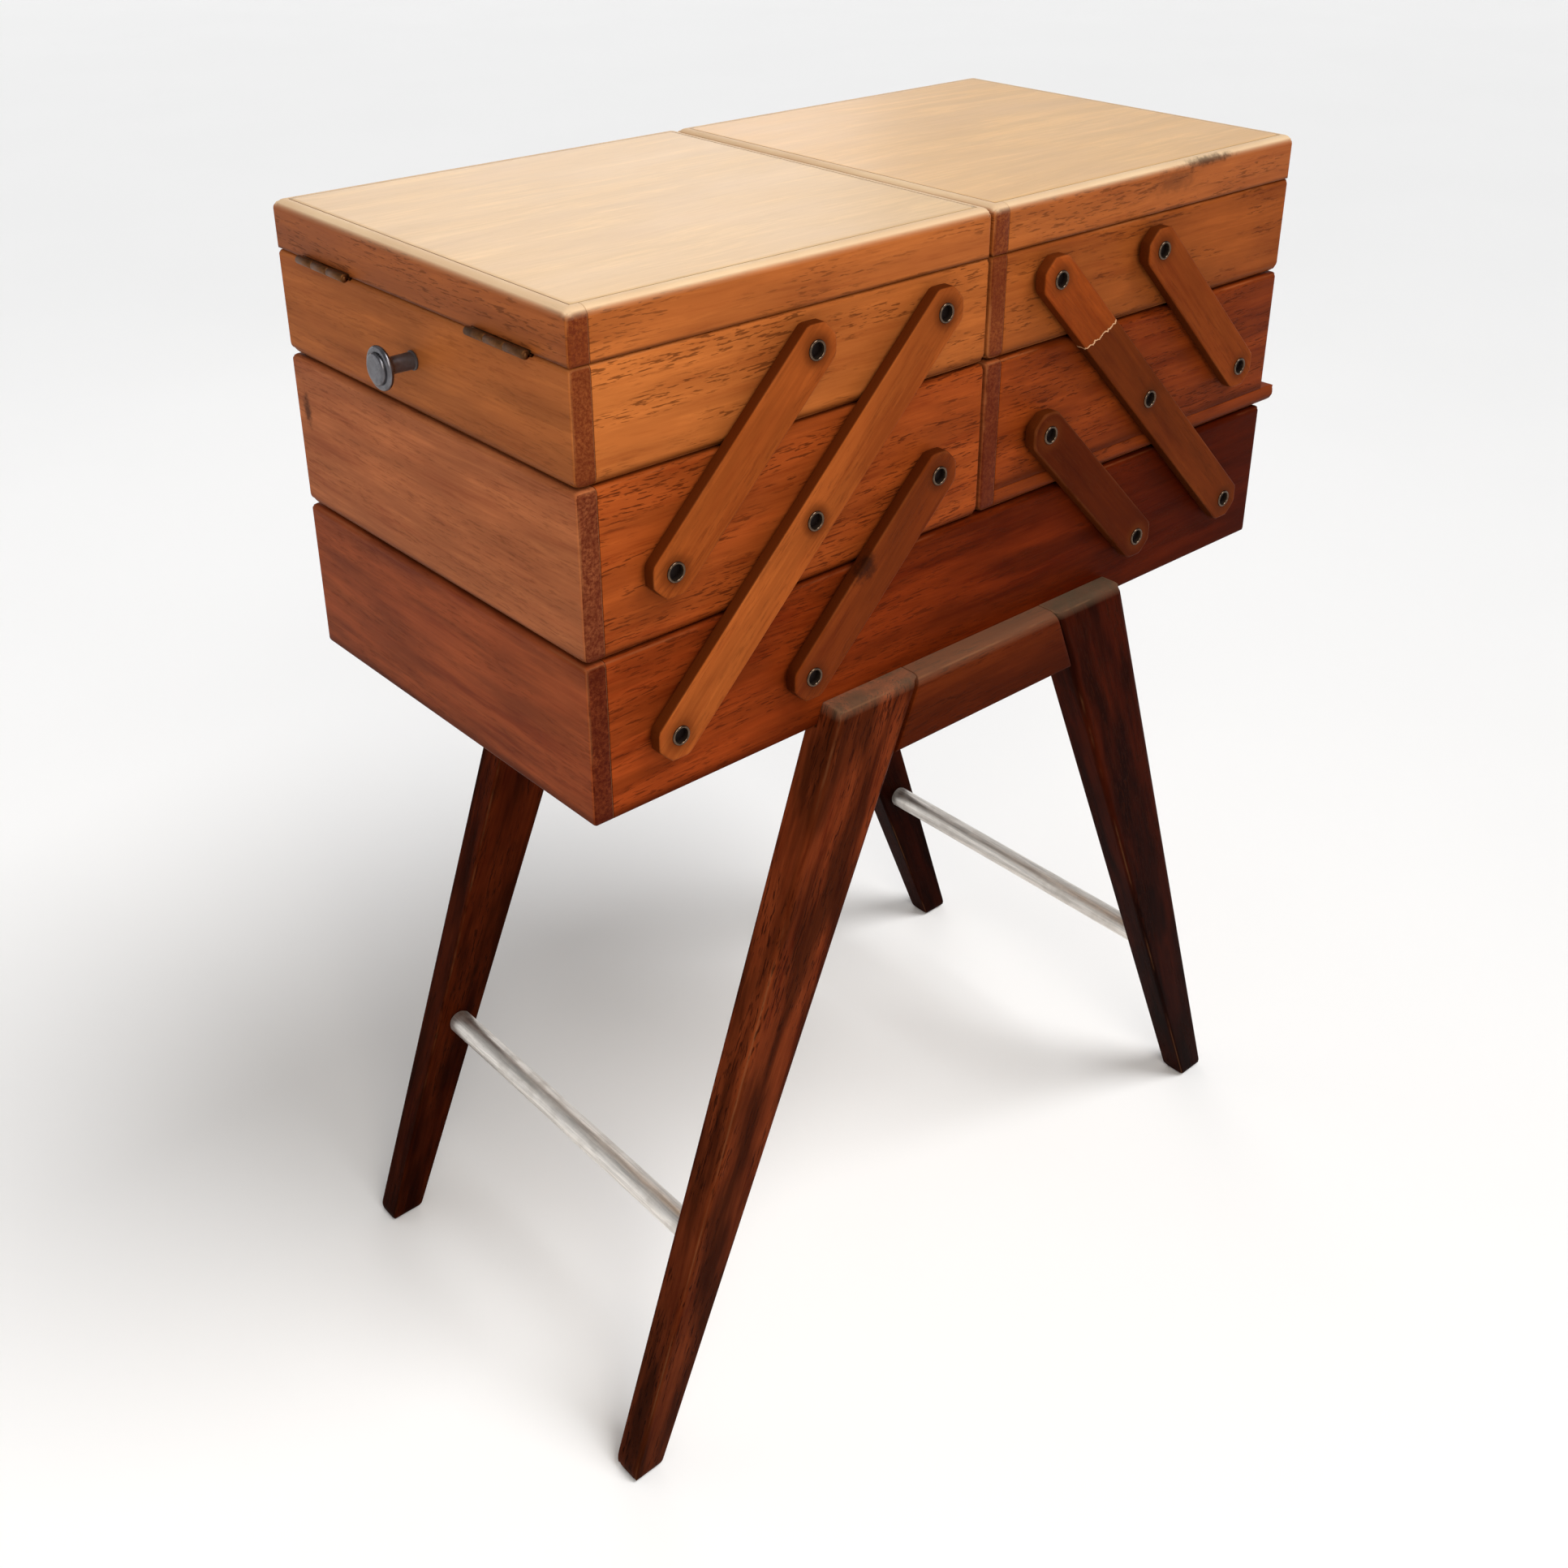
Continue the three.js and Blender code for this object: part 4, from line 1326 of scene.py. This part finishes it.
def worn_top(points, top):
    """Pale wear with a painted highlight on the stand's tops: full strength at the top, falling evenly to
    none lower down.
    """
    return TOP_WEAR_AND_HIGHLIGHT_STRENGTH * np.clip(1 - (top - points[:, 2]) / TOP_WEAR_AND_HIGHLIGHT_REACH, 0, 1)


def add_leg(side, end):
    """A tapered, splayed leg, notched at its top to lap the tray.

    An upright bar with rounded edges is drawn, with the notch cut out of its back. Each level of it is
    stretched sideways between the leg's inner and outer edges at that height, and is thinned towards
    the foot in the ratio of the leg's thickness there to its thickness at the shoulder."""
    node = f"leg_{side}_{end}"
    edges = settings().edges
    low, high = box(node)
    foot_in, foot_out = edge_at(node, -1)
    top_in, top_out = edge_at(node, 1)
    foot_back = edge_at(node, -1, axis=1)[0]
    lap = edge_at(node, 1, axis=1)[0]
    back = np.abs([low[1], high[1]]).min()
    face = np.abs([low[1], high[1]]).max()
    shoulder = box("bottom_front_board")[0][2] - SHOULDER_GAP
    width = (top_out - top_in + foot_out - foot_in) / 2
    out = ENDS[end]
    bar_low = np.array([0.0, low[1], low[2]])
    bar_high = np.array([width, high[1], high[2]])
    notch_y = sorted((out * (back - 1 * MM), out * lap))
    notch = (np.array([-1, notch_y[0], shoulder]), np.array([1, notch_y[1], 1]))
    radii = dict.fromkeys(EDGES, SAWN_EDGE)
    for across in (-1, 1):
        radii[((0, across), (1, out))] = edges.leg
        radii[((0, across), (1, -out))] = edges.leg * 0.6
        radii[((1, across), (2, -1))] = FOOT_ROUNDING["across"]
    radii[((0, -1), (2, -1))] = FOOT_ROUNDING["inner"]
    radii[((0, 1), (2, -1))] = MOST_WORN_FOOT.get(node, FOOT_ROUNDING["outer"])
    radii[((1, out), (2, 1))] = edges.stand_top
    points, quads, depths = board_surface(bar_low, bar_high, radii, [notch], spacing=0.02)
    drop = np.clip((points[:, 2] - low[2]) / (shoulder - low[2]), 0, 1)
    thickness = (face - foot_back) + (foot_back - back) * drop
    points[:, 1] = out * face + (points[:, 1] - out * face) * thickness / (face - back)
    level = (points[:, 2] - low[2]) / (high[2] - low[2])
    inner = foot_in + (top_in - foot_in) * level
    outer = foot_out + (top_out - foot_out) * level
    direction = SIDES[side]
    points[:, 0] = direction * (inner + (outer - inner) * points[:, 0] / width)
    run = np.array([direction * (foot_in + foot_out - top_in - top_out) / 2, 0, low[2] - high[2]])
    values = wood_values(node, points, depths, run / np.linalg.norm(run), (0, 1, 0), radii,
                         [(2, -1)])
    values["bleach"] = worn_top(points, high[2])
    add_piece(f"{node}_wood", node, points, quads, values, finish("stand"))


def add_rail(end):
    """The short rail between two leg tops, its ends cut to the slope of the legs."""
    node = f"rail_{end}"
    edges = settings().edges
    low, high = box(node)
    foot = edge_at(node, -1)[1]
    top = edge_at(node, 1)[1]
    width = (foot + top) / 2
    bar_low = np.array([-width, low[1], low[2]])
    bar_high = np.array([width, high[1], high[2]])
    out = ENDS[end]
    radii = dict.fromkeys(EDGES, edges.joint)
    radii[((1, out), (2, 1))] = edges.stand_top
    radii[((1, out), (2, -1))] = 2.0 * MM
    radii[((1, -out), (2, -1))] = 1.0 * MM
    points, quads, depths = board_surface(bar_low, bar_high, radii, spacing=0.02)
    level = (points[:, 2] - low[2]) / (high[2] - low[2])
    points[:, 0] *= (foot + (top - foot) * level) / width
    values = wood_values(node, points, depths, (1, 0, 0), (0, 0, 1), radii)
    # Darker towards the rail's bottom and lighter at its top: painted shade
    values["tone"] = stain(node, points, 0.6 + 0.7 * level)
    values["bleach"] = worn_top(points, high[2])
    add_piece(f"{node}_wood", node, points, quads, values, finish("rail"))


def add_rod(side):
    """A round tie rod: its radius wavers by a few hundredths of a millimetre along its length, as one
    less a small share of one plus the product of two sines."""
    node = f"rod_{side}"
    low, high = box(node)
    radius = (high[2] - low[2]) / 2
    run = high[1] - low[1]
    steps = np.linspace(0, 1, 60)
    waver = 1 - 0.004 * (1 + np.sin(steps * 23 + SIDES[side]) * np.sin(steps * 9.7))
    profile = [(0, 0), (radius * 0.92, 0)]
    profile += [(radius * w, s * run) for s, w in zip(steps * 0.99 + 0.005, waver)]
    profile += [(radius * 0.92, run), (0, run)]
    middle = (low + high) / 2
    points, faces = lathe(profile, (middle[0], low[1], middle[2]), (0, 1, 0), segments=40)
    from_end = np.minimum(points[:, 1] - low[1], high[1] - points[:, 1])
    values = {"bore": np.clip(1 - from_end / (2.5 * MM), 0, 1) * 0.7}
    add_piece(f"{node}_aluminium", node, points, faces, values, finish("rod"))


# ---------------------------------------------------------------------------------------------
# Stage
# ---------------------------------------------------------------------------------------------

CAMERA_PLACE = (-1.2587, -1.3572, 0.8963)

# Directions and places of the lights, and what the lamps face
KEY_FROM = (0.30, -0.60, 1.10)
NEAR_PLACE = (-0.55, -0.95, 1.15)
NEAR_AIM = (-0.1, 0, 0.42)
GLOW_PLACE = (0.72, 1.25, 1.05)
GLOW_AIM = (-0.1, 0, 0.57)

# Floor: half its width, the radius where it starts to rise, and the rise for the square of a metre
FLOOR_REACH = 9.0
FLOOR_FLAT = 6.0
FLOOR_RISE = 0.2


def add_area_light(name, place, aim, size, power, tint=(1, 1, 1)):
    """A soft rectangular lamp at a place, turned to face a point."""
    light = bpy.data.lights.new(name, "AREA")
    light.shape = "RECTANGLE"
    light.size, light.size_y = size
    light.energy = power
    light.color = tint
    lamp = bpy.data.objects.new(name, light)
    lamp.location = place
    lamp.rotation_euler = (Vector(aim) - Vector(place)).to_track_quat("-Z", "Y").to_euler()
    lamp.visible_camera = False
    bpy.context.collection.objects.link(lamp)


def add_sun(name, towards, strength):
    """A broad, even light from one direction."""
    light = bpy.data.lights.new(name, "SUN")
    light.energy = strength
    light.angle = math.radians(30)
    lamp = bpy.data.objects.new(name, light)
    lamp.rotation_euler = Vector(towards).to_track_quat("Z", "Y").to_euler()
    bpy.context.collection.objects.link(lamp)


def add_camera():
    """Camera at the chosen azimuth and pitch. CAMERA_PLACE is its distance to the right of the centre, to
    the rear of it and above the foot of the bottom tray, in lengths of the box."""
    stage = settings().stage
    low, high = box("bottom_left_end", "bottom_right_end")
    box_length = high[0] - low[0]
    data = bpy.data.cameras.new("camera")
    data.sensor_width = 36
    data.lens = stage.lens
    data.shift_y = stage.rise
    data.clip_start = 0.01
    data.clip_end = 50
    camera = bpy.data.objects.new("camera", data)
    camera.location = Vector(CAMERA_PLACE) * box_length + Vector((0, 0, low[2]))
    camera.rotation_euler = Euler((math.pi / 2 - stage.pitch, 0, stage.azimuth), "XYZ")
    bpy.context.collection.objects.link(camera)
    bpy.context.scene.camera = camera


def add_floor(tint):
    """A square floor. Beyond the flat middle it rises with the square of the distance, so that its edge
    stays out of sight."""
    line = np.linspace(-1, 1, 41)
    x, y = np.meshgrid(line * FLOOR_REACH, line * FLOOR_REACH, indexing="ij")
    z = np.clip(np.hypot(x, y) - FLOOR_FLAT, 0, None) ** 2 * FLOOR_RISE
    points = np.stack([x, y, z], axis=-1).reshape(-1, 3)
    index = np.arange(line.size ** 2).reshape(line.size, line.size)
    quads = np.stack([index[:-1, :-1], index[1:, :-1], index[1:, 1:], index[:-1, 1:]], axis=-1)
    mesh = bpy.data.meshes.new("floor")
    mesh.from_pydata(points.tolist(), [], quads.reshape(-1, 4).tolist())
    mesh.polygons.foreach_set("use_smooth", np.ones(len(mesh.polygons), dtype=bool))
    mesh.materials.append(floor_finish(tint))
    floor = bpy.data.objects.new("floor", mesh)
    bpy.context.collection.objects.link(floor)


# ---------------------------------------------------------------------------------------------
# Operators
# ---------------------------------------------------------------------------------------------

class BuildOperator:
    """What the building operators share: execute calls build, whose errors stop the script."""
    bl_options = {"REGISTER", "UNDO"}

    def execute(self, context):
        """Builds the pieces; an error stops the script."""
        self.build()
        return {"FINISHED"}


class SEWINGBOX_OT_trays(BuildOperator, bpy.types.Operator):
    """Build the bottom, middle and top trays, board by board"""
    bl_idname = "sewingbox.trays"
    bl_label = "Trays"

    def build(self):
        edges = settings().edges
        add_tray("bottom", "bottom", edges.bottom_foot)
        add_tray("middle_left", "middle", edges.tray_foot, marked="middle_marked")
        add_tray("middle_right", "middle", edges.tray_foot)
        add_edge_strip()
        for side in SIDES:
            add_tray(f"top_{side}", "top", edges.tray_foot)


class SEWINGBOX_OT_lids(BuildOperator, bpy.types.Operator):
    """Build the two lids with their rims and veneered panels"""
    bl_idname = "sewingbox.lids"
    bl_label = "Lids"

    def build(self):
        for side in SIDES:
            add_lid(side)


class SEWINGBOX_OT_hinges(BuildOperator, bpy.types.Operator):
    """Build the butt hinges between the trays and the lids"""
    bl_idname = "sewingbox.hinges"
    bl_label = "Hinges"

    def build(self):
        for side in SIDES:
            for end in ENDS:
                add_hinge_leaf(side, end, "tray")
                add_hinge_leaf(side, end, "lid")
                add_hinge_pin(side, end)


class SEWINGBOX_OT_knobs(BuildOperator, bpy.types.Operator):
    """Build the knob on each end of the top tier"""
    bl_idname = "sewingbox.knobs"
    bl_label = "Knobs"

    def build(self):
        for side in SIDES:
            add_knob(side)


class SEWINGBOX_OT_arms(BuildOperator, bpy.types.Operator):
    """Build the linkage arms with their rivets and spacers"""
    bl_idname = "sewingbox.arms"
    bl_label = "Arms and rivets"

    def build(self):
        for side in SIDES:
            for end in ENDS:
                for kind in ARM_KINDS:
                    add_arm(kind, side, end)


class SEWINGBOX_OT_stand(BuildOperator, bpy.types.Operator):
    """Build the legs, the rails and the tie rods"""
    bl_idname = "sewingbox.stand"
    bl_label = "Stand"

    def build(self):
        for end in ENDS:
            add_rail(end)
            for side in SIDES:
                add_leg(side, end)
        for side in SIDES:
            add_rod(side)


class SEWINGBOX_OT_stage(BuildOperator, bpy.types.Operator):
    """Set up the floor, the light and the camera"""
    bl_idname = "sewingbox.stage"
    bl_label = "Stage"

    def build(self):
        stage = settings().stage
        add_floor(tuple(stage.floor))
        add_sun("key", KEY_FROM, stage.key)
        add_area_light("near", NEAR_PLACE, NEAR_AIM, (0.6, 0.6), stage.near, (1, 0.93, 0.84))
        add_area_light("glow", GLOW_PLACE, GLOW_AIM, (0.8, 0.55), stage.glow, (1, 0.95, 0.92))
        bpy.context.scene.view_settings.view_transform = "Standard"
        world = bpy.data.worlds.new("studio")
        bpy.context.scene.world = world
        world.use_nodes = True
        background = world.node_tree.nodes["Background"]
        background.inputs["Color"].default_value = (1, 1, 1, 1)
        background.inputs["Strength"].default_value = stage.sky
        add_camera()


OPERATORS = [SEWINGBOX_OT_trays, SEWINGBOX_OT_lids, SEWINGBOX_OT_hinges, SEWINGBOX_OT_knobs,
             SEWINGBOX_OT_arms, SEWINGBOX_OT_stand, SEWINGBOX_OT_stage]


class SEWINGBOX_PT_panel(bpy.types.Panel):
    """Lists the building steps and the settings"""
    bl_idname = "SEWINGBOX_PT_panel"
    bl_label = "Sewing box"
    bl_space_type = "VIEW_3D"
    bl_region_type = "UI"
    bl_category = "Sewing box"

    def draw(self, context):
        """One button for each operator, then the settings."""
        for operator in OPERATORS:
            self.layout.operator(operator.bl_idname)
        chosen = settings()
        for group in (chosen.edges, chosen.fittings, chosen.woods, chosen.metals, chosen.stage):
            column = self.layout.column(heading=type(group).__name__)
            for key in type(group).__annotations__:
                column.prop(group, key)


CLASSES = [EdgeSizes, FittingSizes, WoodColours, MetalColours, StageSettings, SewingBoxSettings,
           *OPERATORS, SEWINGBOX_PT_panel]


def register():
    """Registers the classes and puts the settings on the scene."""
    for cls in CLASSES:
        bpy.utils.register_class(cls)
    bpy.types.Scene.sewing_box = PointerProperty(type=SewingBoxSettings)


def unregister():
    """Takes the settings off the scene and removes the classes."""
    del bpy.types.Scene.sewing_box
    for cls in reversed(CLASSES):
        bpy.utils.unregister_class(cls)


def main():
    """Registers the add-on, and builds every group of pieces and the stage."""
    register()
    bpy.ops.sewingbox.trays()
    bpy.ops.sewingbox.lids()
    bpy.ops.sewingbox.hinges()
    bpy.ops.sewingbox.knobs()
    bpy.ops.sewingbox.arms()
    bpy.ops.sewingbox.stand()
    bpy.ops.sewingbox.stage()


if __name__ == "__main__":
    main()
